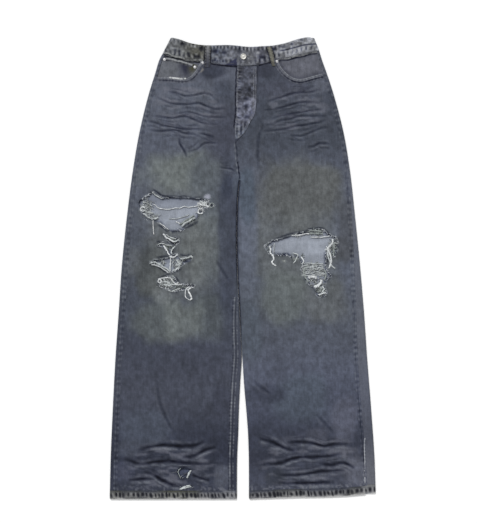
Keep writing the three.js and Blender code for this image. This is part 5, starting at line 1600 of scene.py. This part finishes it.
def fly_placket():
    y = np.linspace(FLY_TOP, FLY_LOW, 170)[:, None]
    x = CENTRE_FRONT(y) + SEAM_GAP + FLY_WIDTH(y) * np.linspace(0, 1, 40)
    y = np.broadcast_to(y, x.shape)
    inward = x - CENTRE_FRONT(y)
    seam, side, _, _, _ = near(x, y, rounded(FLY_STITCH, 5.0))
    outward = seam * np.where(side > 0, 1, -1)
    ruffle = 0.6 * stripes(y + 5 * noise(x, y, 7.0, 9.0, 109), 7.6, 105) + 0.5 * stripes(y, 19.0, 107)
    ruffle = ruffle * hump(inward - 6, 6.5) * (0.3 + noise(x, y, 8.0, 12.0, 114))
    ridge = hump(inward, 2.6)
    twin = hump(seam, 1.5) + hump(outward + 5, 1.5)
    clumps = noise(x, y, 8.0, 9.0, 106) + 0.7 * noise(x, y, 3.6, 3.6, 110) - 0.85
    lift = 0.5 * ruffle + 0.5 * clumps
    outer, inner = flat_pair(x, y, TOP + LIFT + CLOTH + lift, CLOTH)
    area = grid_area(outer)
    colour = even(FLY_TONE, x)
    colour = blended(colour, FLY_MIDDLE, smooth(-y, -428, -392))
    colour = mottled(blended(colour, FLY_END, smooth(-y, -350, -330)), x, y, 0.34)
    colour = colour * (1 + 0.6 * clumps)[..., None]
    worn = 0.7 * np.clip(ruffle, 0, 1) + 0.65 * ridge * (0.4 + noise(x, y, 4.0, 7.0, 112))
    colour = blended(colour, FLY_RIDGE, worn)
    colour = blended(colour, FLY_TWIN, 0.6 * twin * noise(x, y, 4.0, 9.0, 113))
    dark, pale = blots(x, y, FLY_BLOTS)
    colour = blended(colour, FLY_PALE, 0.7 * np.clip(pale, 0, 1))
    colour = darkened(colour, 0.5 * np.clip(-ruffle, 0, 1) + 0.4 * smooth(outward, 2.0, 4.5) + 0.5 * dark)
    piece = shell("placket_fly", outer, inner, colour, inside_colour(x, y), [DENIM, INSIDE])
    finish_cloth(piece, "fly_placket", area)


POCKET_CLOTH = 1.0


def back_pockets():
    for label, middle in POCKET_MIDDLES.items():
        t = np.linspace(0, 1, 56)[:, None]
        share = np.linspace(-1, 1, 52)
        low = lerp(POCKET["point"], POCKET["bottom"], np.abs(share))
        y = lerp(POCKET["top"], low, t)
        half = lerp(POCKET["half_bottom"], POCKET["half_top"], smooth(y, POCKET["bottom"], POCKET["top"]))
        x = middle + half * share
        edge = np.minimum(half - np.abs(x - middle), np.minimum(POCKET["top"] - y, 3 * (y - low)))
        groove = hump(edge - 4, 1.2)
        level = 0.25 * groove + 0.25 * noise(x, y, 30.0, 30.0, 108)
        outer, inner = flat_pair(x, y, level, -POCKET_CLOTH)
        area = grid_area(outer)
        colour = mottled(even(POUCH_TONE, x), x, y, 0.3)
        colour = blended(colour, POUCH_EDGE, 0.6 * np.exp(-edge / 2.0))
        piece = shell(f"pouch_back_{label}", outer, inner, colour, inside_colour(x, y), [DENIM, INSIDE])
        finish_cloth(piece, f"back_pocket_{label}", area)


LOOP_ROWS = 44
LOOP_COLUMNS = 15


def loop_strip(name, node, stations, width, cloth, ends=(LOOP_TONE, LOOP_TONE)):
    """Belt loop: a strip along (x, y, z) stations, with puckered edges."""
    line = np.array(stations, float)
    along = travelled(line)
    where = np.linspace(0, along[-1], LOOP_ROWS)
    x, y, z = (np.interp(where, along, line[:, axis])[:, None] for axis in range(3))
    share = np.linspace(-1, 1, LOOP_COLUMNS)
    x = x + share * width / 2
    y, z = (np.broadcast_to(value, x.shape) for value in (y, z))
    roll = -0.5 * np.abs(share) ** 5
    wave = stripes(y + 2 * share, 7.0, 111) * np.abs(share) ** 1.5
    ridge = hump(np.abs(share) - 0.55, 0.14)
    lift = roll + 0.22 * wave - 0.2 * ridge
    outer, inner = flat_pair(x, y, z + cloth + lift, cloth)
    if node.startswith("loop_back"):
        outer, inner = flat_pair(x, y, z - np.minimum(lift, 0), -cloth)
    area = grid_area(outer)
    colour = mottled(lerp(*np.array(ends, float), smooth(y, y.min(), y.max())[..., None]), x, y, 0.35)
    colour = blended(colour, LOOP_RIDGE, 0.6 * np.clip(wave, 0, 1))
    colour = colour * (1 - 0.4 * np.clip(-wave, 0, 1) - 0.25 * ridge)[..., None]
    # Painted shade at the loop's rolled sides
    colour = colour * (1 - 0.55 * np.abs(share) ** 8)[..., None]
    piece = shell(name, outer, inner, colour, inside_colour(x, y), [WORN, INSIDE])
    finish_cloth(piece, node, area)


def belt_loops():
    low, high = TOP + LIFT, BAND_TOP + LIFT
    for label, loop in LOOPS_FRONT.items():
        (top_x, top_y), (low_x, low_y) = loop["top"], loop["bottom"]
        seam = float(WAIST_BOTTOM((top_x + low_x) / 2))
        stations = []
        arch = (lerp(seam, top_y, 0.5), high + 0.6)
        for y, z in ((low_y, low), (seam - 7, low), (seam - 3, high), arch, (top_y, high)):
            stations.append((lerp(low_x, top_x, (y - low_y) / (top_y - low_y)), y, z))
        loop_strip(
            f"strap_front_{label}", f"loop_front_{label}", stations, loop["width"], LOOP_CLOTH,
            loop["tones"],
        )
    for label, x in LOOPS_BACK.items():
        stations = [(x, float(WAIST_BACK(x)) + 1, 0.0), (x, float(WAIST_TOP(x)) - 1, 0.0)]
        loop_strip(
            f"strap_back_{label}", f"loop_back_{label}", stations, LOOP_BACK_WIDTH, LOOP_BACK_CLOTH,
        )


for label, leg in LEGS.items():
    facing(label, leg)
coin_pocket()
fly_placket()
back_pockets()
belt_loops()


# Sewn edges and stitches that lie on the cloth
def cloth_surface(pieces):
    """Function for the height of the cloth at points, on its upper or lower face."""
    points, faces = [], []
    first = 0
    for piece in pieces:
        mesh = piece.data
        spots = np.zeros(3 * len(mesh.vertices), np.float32)
        mesh.vertices.foreach_get("co", spots)
        corners = np.zeros(len(mesh.loops), np.int32)
        mesh.loops.foreach_get("vertex_index", corners)
        points.append(spots.reshape(-1, 3) / MM)
        faces.append(corners.reshape(-1, 4) + first)
        first += len(mesh.vertices)
    tree = BVHTree.FromPolygons(np.concatenate(points).tolist(), np.concatenate(faces).tolist())

    def level(x, y, below=False):
        start, way = (-60.0, 1.0) if below else (60.0, -1.0)
        heights = []
        for a, b in zip(np.ravel(x), np.ravel(y)):
            hit = tree.ray_cast((a, b, start), (0, 0, way))[0]
            heights.append(hit.z if hit else (0.0 if below else TOP))
        return np.array(heights).reshape(np.shape(x))

    return level


surface = cloth_surface(LAID)

SEAM_DEPTH = 0.6
SEAM_RISE = 0.12


def sewn_edge(name, line, profile, sign, tone, pale, pitch, seed, waver=0.0, dark=None):
    """Raised seam along a line, or a flat ribbon that carries painted shade; the profile holds (offset,
    rise, shade from dark -1 to pale 1).
    """
    offset, rise, shade = np.array(profile, float).T
    along = travelled(line)[:, None]
    sway = noise(along, 0 * along, 9.0, 1.0, seed) + noise(along, 0 * along, 22.0, 1.0, seed + 1) - 1
    sway = waver * sway
    x, y = beside(line, sign * (offset + sway))
    wave = stripes(along, pitch, seed + 2)
    patchy = noise(x, y, 6.0, 6.0, seed + 3) - 0.5
    depth = np.where(shade < 0, dark(x, y), 1.0) if dark else 1.0
    steady = 0.6 + 0.8 * noise(along, 0 * along, 14.0, 1.0, seed + 4)
    shade = depth * shade * steady + 0.18 * wave * steady + 0.5 * patchy
    colour = darkened(tone(x, y), -0.7 * np.clip(shade, -1, 0))
    colour = blended(colour, pale, 0.85 * np.clip(shade, 0, 1))
    height = surface(x, y) + np.maximum(rise * (1 + 0.4 * wave + 0.5 * patchy), SEAM_RISE)
    outer = np.stack([x, y, height], -1)
    piece = shell(name, outer, outer - [0, 0, SEAM_DEPTH], colour, colour, [WORN])


def dyed(table):
    return lambda x, y: washed(tones(y, table), x, y)


def plain(*colour):
    return lambda x, y: even(colour, x)


def line_over(curve, first, last, step=1.8):
    """Points (x, curve(x)) from one x to another."""
    x = np.linspace(first, last, max(4, int(abs(last - first) / step)))
    return np.stack([x, curve(x)], 1)


def line_down(curve, first, last, step=1.8):
    """Points (curve(y), y) from one y to another."""
    y = np.linspace(first, last, max(4, int(abs(last - first) / step)))
    return np.stack([curve(y), y], 1)


WELT = [
    (-0.2, 0.3, 0.5), (0.8, 0.8, 0.75), (2.0, 0.9, 0.2), (3.0, 0.5, -0.35), (4.0, 0.85, 0.2),
    (5.2, 0.8, 0.1), (6.2, 0.4, -0.3), (7.0, 0.12, -1.0), (8.6, 0.12, -1.0), (9.8, 0.12, -0.5),
    (11.2, 0.12, 0.0),
]
# Lapped edge: pale rim, then painted shadow past the edge
LAP = [
    (-3.0, 0.12, -0.1), (-1.4, 0.5, 0.5), (0.0, 0.9, 1.0), (1.6, 0.7, 0.8), (2.6, 0.2, -0.7),
    (4.0, 0.12, -1.0), (6.2, 0.12, -0.6),
]
# Flat dark ribbon of painted shade
SHADE_LINE = [(-2.4, 0.12, -0.1), (-1.0, 0.12, -0.95), (0.4, 0.12, -1.0), (1.6, 0.12, -0.8), (2.8, 0.12, 0.0)]
TWIN = [
    (-9.0, 0.12, 0.0), (-7.4, 0.12, -0.25), (-6.0, 0.3, 0.0), (-4.4, 0.7, 0.5), (-2.6, 0.7, 0.45),
    (-1.4, 0.2, -0.4), (0.0, 0.12, -0.8), (1.6, 0.12, -0.8), (3.0, 0.4, 0.25), (4.4, 0.4, 0.2),
    (6.0, 0.12, 0.0),
]
SIDE = [
    (-5.0, 0.12, 0.0), (-3.0, 0.35, 0.05), (-1.4, 0.4, 0.12), (-0.4, 0.15, -0.3), (0.6, 0.12, -0.45),
    (1.6, 0.3, 0.0), (3.0, 0.4, 0.0), (5.0, 0.12, 0.0),
]
FRONT_SEAM = [
    (-5.0, 0.12, 0.0), (-3.6, 0.4, 0.3), (-1.8, 0.4, 0.25), (-0.8, 0.12, -0.8), (0.6, 0.12, -1.0),
    (1.8, 0.12, -0.4), (3.4, 0.12, 0.0),
]
WORN_SEAM = [
    (-4.4, 0.12, 0.0), (-3.0, 0.12, -0.8), (-1.6, 0.2, -0.7), (-0.6, 0.6, 0.9), (0.6, 0.6, 1.0),
    (1.6, 0.3, 0.2), (3.0, 0.12, 0.0),
]
WORN_WELT = [(-1.4, 0.9, 0.6), (0, 1.3, 1.2), (1.6, 1.2, 1.2), (2.6, 0.8, 0.5)]
SEAM_PALE = (150, 153, 158)
# Colour of the painted shade lines
SHADE_LINE_TONE = plain(66, 69, 82)


def sewn_edges():
    for label, leg in LEGS.items():
        side = leg["side"]
        line = mouth_line(leg, 1.8)
        sewn_edge(
            f"welt_{label}", line, WELT, -side, plain(98, 101, 111), SEAM_PALE, 8.0, 120,
            dark=lambda x, y: 0.25 + 0.75 * smooth(np.abs(x), 98, 118) * (0.4 + 0.6 * (side > 0)),
        )
        foot = float(hem_seam(leg, side_seam(leg, HEM_RIGHT))) + 0.7
        outseam = line_down(lambda y: side_seam(leg, y), float(line[-1, 1]) - 12, foot)
        deep = 0.7 if side > 0 else 0.3
        sewn_edge(
            f"side_seam_{label}", outseam, SIDE, -side, dyed(leg["tones"]), SEAM_PALE, PUCKER_PITCH, 126,
            dark=lambda x, y: 0.3 + deep * smooth(-y, 150, 400),
        )
    frayed = line_down(lambda y: 292.5 + 0 * y, -408, -520)
    sewn_edge("seam_worn", frayed, WORN_SEAM, 1, dyed(LEFT_TONES), (182, 184, 190), 8.0, 152, 1.2)
    worn = rounded([(-176, 457.5), (-165, 456.2), (-153, 455), (-144, 454.6), (-136, 455.6)], 1.6)
    sewn_edge("welt_worn", worn, WORN_WELT, -1, plain(150, 152, 156), (214, 216, 218), 9.0, 128)
    # Lapped edges of the coin pocket and the band: pale rims with painted shadow below them
    coin_line = line_over(lambda x: coin_edge(x) - 1.0, -184, -120)
    sewn_edge(
        "edge_coin", coin_line, LAP, -1, plain(84, 86, 92), (166, 168, 170), 9.0, 130, 3.0,
        dark=lambda x, y: 0.7 * noise(x, y, 14.0, 14.0, 133),
    )
    band_low = line_over(lambda x: WAIST_BOTTOM(x) + 5 * smooth(-x, 135, 172), -186, -96)
    sewn_edge("edge_band_right", band_low, LAP, -1, plain(84, 86, 88), (158, 160, 160), 10.0, 134, 2.8)
    band_low = line_over(WAIST_BOTTOM, 84, 178)
    sewn_edge("edge_band_left", band_low, LAP, -1, plain(96, 98, 106), (168, 170, 172), 11.0, 138, 1.6)
    # Painted shadow lines just under the band's lower edge, either side of the fly
    for label, first, last in (("right", -76, -14), ("left", 38, 68)):
        line = line_over(lambda x: WAIST_BOTTOM(x) - 1.6, first, last)
        sewn_edge(f"shade_band_{label}", line, SHADE_LINE, -1, SHADE_LINE_TONE, SEAM_PALE, 12.0, 142)
    # Painted shade along the centre-front seam, beside a pale ridge
    line = line_down(CENTRE_FRONT, 304, CROTCH + 3)
    sewn_edge(
        "shade_front", line, FRONT_SEAM, 1, dyed(LEFT_TONES), SEAM_PALE, 14.0, 156, 0.8,
        dark=lambda x, y: 0.3 + 0.7 * smooth(-y, -268, -244),
    )
    # Painted shade along the fly's left edge
    line = line_down(lambda y: CENTRE_FRONT(y) - 1.4, 484, 336)
    sewn_edge(
        "shade_fly", line, SHADE_LINE, 1, SHADE_LINE_TONE, SEAM_PALE, 14.0, 144, 0.8,
        dark=lambda x, y: 0.35 + 0.6 * noise(x, y, 20.0, 24.0, 147),
    )
    line = line_down(inner_seam, -70, HEM_RIGHT + HEM_HEIGHT + 1)
    sewn_edge("inner_seam", line, TWIN, 1, dyed(RIGHT_TONES), SEAM_PALE, 8.0, 148)


sewn_edges()

# Stitches
BUTTONHOLE = [((7, 510.5), (29, 505.5)), ((10, 503), (27, 498.5))]
STITCH_LONG = 3.0
STITCH_PITCH = 4.2
STITCH_RADII = [0.2, 0.42, 0.42, 0.2]


def stitches(name, rows, draws):
    """Rows of short sewn stitches; each row is (line, shift left of it, colour, below)."""
    strands = []
    for line, shift, tint, below in rows:
        line = np.stack([part[:, 0] for part in beside(np.asarray(line, float), shift)], 1)
        along = travelled(line)
        middles = np.arange(STITCH_PITCH, along[-1] - STITCH_PITCH, STITCH_PITCH)
        middles = middles + draws.normal(0, 0.2, len(middles))
        reach = STITCH_LONG * np.array([-0.5, -0.3, 0.3, 0.5])
        where = middles[:, None] + reach
        x, y = np.interp(where, along, line[:, 0]), np.interp(where, along, line[:, 1])
        rise = np.array([-0.1, 0.25, 0.25, -0.1])
        z = surface(x, y, below) + (-rise if below else rise)
        for index in range(len(middles)):
            colour = np.clip(np.array(tint) * draws.uniform(0.75, 1.15), 0, 250)
            strands.append((np.stack([x[index], y[index], z[index]], 1), STITCH_RADII, colour))
    piece = tubes(name, strands, [YARN])


def stitch_rows():
    draws = np.random.default_rng(9)
    rows = []
    for leg in LEGS.values():
        line = mouth_line(leg, 2.0)
        rows += [(line, -leg["side"] * shift, STITCH_PALE, False) for shift in (2.4, 5.2)]
        hem_line = lambda x: leg["hem"](x) + HEM_HEIGHT - 3.5
        first, last = sorted((float(leg["inner"](HEM_RIGHT)), float(leg["outer"](HEM_RIGHT))))
        line = line_over(hem_line, first + 4, last - 4)
        rows += [(line, 0.0, STITCH_TONE, below) for below in (False, True)]
    for first, last in ((-170, -93), (-74, -16), (-8, 58), (76, 166)):
        rows.append((line_over(lambda x: WAIST_TOP(x) - 4.5, first, last), 0.0, STITCH_PALE, False))
        rows.append((line_over(lambda x: WAIST_BOTTOM(x) + 5.0, first, last), 0.0, STITCH_PALE, False))
    rows.append((rounded(FLY_STITCH, 3.0), 0.0, STITCH_PALE, False))
    rows.append((rounded(FLY_STITCH, 3.0), -5.0, STITCH_PALE, False))
    rows.append((line_down(lambda y: CENTRE_FRONT(y) + 3.0, 478, 330), 0.0, STITCH_PALE, False))
    coin_line = [(x, coin_edge(x) - 5.5) for x in range(-184, -122, 3)]
    rows.append((coin_line, 0.0, STITCH_TONE, False))
    rows.append((line_down(inner_seam, -70, -530), -3.4, STITCH_TONE, False))
    rows += [(np.linspace(first, last, 9), 0.0, BUTTONHOLE_TONE, False) for first, last in BUTTONHOLE]
    for loop in LOOPS_FRONT.values():
        line = np.linspace(loop["bottom"], loop["top"], 12)
        rows += [(line, shift * loop["width"], STITCH_TONE, False) for shift in (-0.28, 0.28)]
    for middle in POCKET_MIDDLES.values():
        half_top, half_low = POCKET["half_top"] - 4, POCKET["half_bottom"] - 4
        outline = [
            (middle - half_top, POCKET["top"] - 3), (middle - half_low, POCKET["bottom"] + 3),
            (middle, POCKET["point"] + 5), (middle + half_low, POCKET["bottom"] + 3),
            (middle + half_top, POCKET["top"] - 3),
        ]
        rows += [(np.linspace(a, b, 20), 0.0, STITCH_TONE, True) for a, b in zip(outline, outline[1:])]
        rows.append((np.linspace(outline[0], outline[-1], 20) - [0, 6], 0.0, STITCH_TONE, True))
    for first, last in ((-190, -12), (12, 190)):
        rows += [(line_over(yoke_seam, first, last), shift, STITCH_TONE, True) for shift in (3.0, 8.0)]
        rows.append((line_over(lambda x: WAIST_BACK(x) + 4, first, last), 0.0, STITCH_TONE, True))
    return rows, draws


stitches("stitching", *stitch_rows())


# Hardware
BUTTON_PROFILE = [
    (0.02, 0), (6.2, 0), (6.9, 0.5), (7.2, 1.4), (7.1, 2.4), (6.8, 3.0), (6.3, 3.2), (5.8, 3.05),
    (5.3, 2.6), (4.6, 2.35), (2.4, 2.3), (2.0, 2.5), (1.4, 2.65), (0.7, 2.7), (0.02, 2.7),
]
RIVET_PROFILE = [
    (0.02, 0), (3.3, 0), (3.5, 0.3), (3.45, 0.7), (3.1, 0.95), (2.5, 1.0), (2.1, 0.95), (1.75, 1.2),
    (1.5, 1.55), (1.0, 1.7), (0.02, 1.7),
]
button = lathe("button_waist", BUTTON_PROFILE, BUTTON_PLACE, BUTTON_TONE, [NICKEL])
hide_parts("waist_button")
for node, place in RIVET_PLACES.items():
    rivet = lathe(f"stud_{node}", RIVET_PROFILE, place, RIVET_TONE, [NICKEL], turns=28)
    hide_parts(node)


# Frayed threads
def fringe(outline, names, spacing, reach, draws):
    """Short threads that stand out of a torn edge into the hole."""
    line = np.array(outline, float)
    after = np.roll(line, -1, axis=0)
    turn = np.sign(np.sum(line[:, 0] * after[:, 1] - line[:, 1] * after[:, 0]))
    count = int(np.linalg.norm(after - line, axis=1).sum() / spacing)
    pick = draws.integers(0, len(line), count)
    way = unit(after[pick] - line[pick])
    inward = turn * np.stack([-way[:, 1], way[:, 0]], 1)
    root = lerp(line[pick], after[pick], draws.uniform(size=(count, 1)))
    thick = noise(root[:, 0], root[:, 1], 14.0, 14.0, 51)
    shown = noise(root[:, 0], root[:, 1], 21.0, 21.0, 52) > 0.42
    root = root - inward * draws.uniform(0.3, 2.0, (count, 1))
    span = reach * draws.uniform(0.2, 1.0, count) ** 1.3 * (0.4 + 1.2 * thick)
    lean = draws.normal(0, 0.6, count) * span
    level = TOP + front_relief(root[:, 0], root[:, 1], names)[0]
    pale = draws.uniform(0.1, 1.0, count)
    strands = []
    for index in np.flatnonzero(shown):
        path = []
        for share in np.linspace(0, 1, 5):
            spot = root[index] + span[index] * share * inward[index] + lean[index] * share**2 * way[index]
            path.append((spot[0], spot[1], level[index] + 0.5 * math.sin(3 * share) - 1.9 * share**2))
        tint = lerp(np.array(THREAD_BLUE), np.array(WHITE_YARN), pale[index])
        strands.append((path, np.linspace(0.6, 0.3, 5), tint))
    return strands


def cord(points, strands, spread, radius, draws, tint, level):
    """Bundle of yarns along a drawn line at a level."""
    line = rounded(points, 2.0)
    share = np.linspace(0, 1, len(line))
    way = unit(np.gradient(line, axis=0))
    core = np.column_stack([line, np.maximum(level, surface(*line.T) + 0.5) - 0.3])
    ends = np.minimum(1, 0.3 + 6 * np.minimum(share, 1 - share))
    bundle = [(core, (0.45 * spread + 0.4 * radius) * ends, np.array(tint) * draws.uniform(0.88, 0.98))]
    for _ in range(strands):
        phase, pitch = draws.uniform(0, 2 * np.pi), draws.uniform(10, 22)
        turn = 2 * np.pi * share * len(line) * 2.0 / pitch + phase
        off = spread * draws.uniform(0.3, 1.0) * np.sin(turn)
        x = line[:, 0] - way[:, 1] * off
        y = line[:, 1] + way[:, 0] * off
        z = np.maximum(level, surface(x, y) + 0.5) + 0.35 * spread * np.cos(turn)
        colour = np.clip(np.array(tint) * draws.uniform(0.8, 1.08), 0, 250)
        radii = 1.12 * radius * np.minimum(1, 0.4 + 6 * np.minimum(share, 1 - share))
        bundle.append((np.stack([x, y, np.maximum(z, 1.9)], 1), radii, colour))
    return bundle


def tangle(middle, half, count, long, draws, tint, level):
    """Loose curled yarns round a place."""
    strands = []
    for _ in range(count):
        angle, radius = draws.uniform(0, 2 * np.pi), math.sqrt(draws.uniform())
        away = np.array([half[0] * math.cos(angle), half[1] * math.sin(angle)])
        spot = np.array(middle, float) + radius * away
        heading, curl = draws.uniform(0, 2 * np.pi), draws.normal(0, 0.1)
        z = draws.uniform(*level)
        path = []
        for _ in range(max(5, int(long * draws.uniform(0.5, 1.3) / 1.8))):
            path.append((spot[0], spot[1], z))
            heading += curl + draws.normal(0, 0.13)
            spot = spot + 1.8 * np.array([math.cos(heading), math.sin(heading)])
            z = min(max(z + draws.normal(0, 0.25), level[0]), level[1])
        colour = np.clip(np.array(tint) * draws.uniform(0.55, 1.07), 0, 250)
        strands.append((path, 0.62, colour))
    return strands


# Ladder of weft yarns that still crosses the knee rip: heights and ends
LADDER_ROWS = np.arange(11, -19, -2.7)
LADDER_LEFT = 141
LADDER_RIGHT = 197
draws = np.random.default_rng(5)
for y in LADDER_ROWS:
    left, right = LADDER_LEFT + draws.normal(0, 2), LADDER_RIGHT + draws.normal(0, 2)
    weft = [(x, y + draws.normal(0, 1.0)) for x in np.linspace(left, right, 7)]
    CORDS["fray_knee"].append((weft, 2, 0.8, 0.5, PALE_YARN, 3.4))

for node, names in FRAYED.items():
    strands = []
    for name, spacing, reach in names:
        strands += fringe(TORN[name], [name], spacing, reach, draws)
    for points, count, spread, radius, tint, level in CORDS[node]:
        strands += cord(points, count, spread, radius, draws, tint, level)
    for middle, half, count, long, tint, level in TANGLES[node]:
        strands += tangle(middle, half, count, long, draws, tint, level)
    piece = tubes(f"threads_{node}", strands, [YARN])
    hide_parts(node)


# Stage, light and camera
LENS = 85.0
SENSOR = 36.0
FLOOR_HALF = 6.0
FLOOR_LEVEL = -0.0006
FLOOR_TONE = (0.95, 0.95, 0.95, 1)
ROOM_LIGHT = 0.62
SUN_SOURCE = (-0.35, 0.85, 0.9)
SUN_SOFTNESS = math.radians(14)
SUN_POWER = 2.35


def sun_light(name, source, softness, power):
    """Broad light from a direction, even over the whole floor."""
    data = bpy.data.lights.new(name, "SUN")
    data.angle = softness
    data.energy = power
    lamp = bpy.data.objects.new(name, data)
    pitch = math.atan2(math.hypot(source[0], source[1]), source[2])
    lamp.rotation_euler = (pitch, 0, math.atan2(source[0], -source[1]))
    bpy.context.scene.collection.objects.link(lamp)


def stage():
    material = bpy.data.materials.new("floor")
    material.use_nodes = True
    shader = material.node_tree.nodes["Principled BSDF"]
    shader.inputs["Base Color"].default_value = FLOOR_TONE
    shader.inputs["Roughness"].default_value = 0.9
    mesh = bpy.data.meshes.new("floor")
    corners = [(-1, -1), (1, -1), (1, 1), (-1, 1)]
    mesh.from_pydata([(x * FLOOR_HALF, y * FLOOR_HALF, FLOOR_LEVEL) for x, y in corners], [], [(0, 1, 2, 3)])
    mesh.materials.append(material)
    floor = bpy.data.objects.new("floor", mesh)
    bpy.context.scene.collection.objects.link(floor)
    world = bpy.data.worlds.new("studio")
    world.use_nodes = True
    background = world.node_tree.nodes["Background"]
    background.inputs["Color"].default_value = (1, 1, 1, 1)
    background.inputs["Strength"].default_value = ROOM_LIGHT
    bpy.context.scene.world = world
    sun_light("key", SUN_SOURCE, SUN_SOFTNESS, SUN_POWER)
    bpy.context.scene.view_settings.view_transform = "Standard"


def camera():
    data = bpy.data.cameras.new("camera")
    data.type = "PERSP"
    data.sensor_fit = "VERTICAL"
    data.sensor_height = SENSOR
    data.lens = LENS
    seen = PHOTO_SIZE[1] * PHOTO_PITCH * MM
    view = bpy.data.objects.new("camera", data)
    ((x, y),) = from_photo([(PHOTO_SIZE[0] / 2, PHOTO_SIZE[1] / 2)])
    view.location = (x * MM, y * MM, seen * LENS / SENSOR + TOP * MM)
    bpy.context.scene.collection.objects.link(view)
    bpy.context.scene.camera = view


stage()
camera()
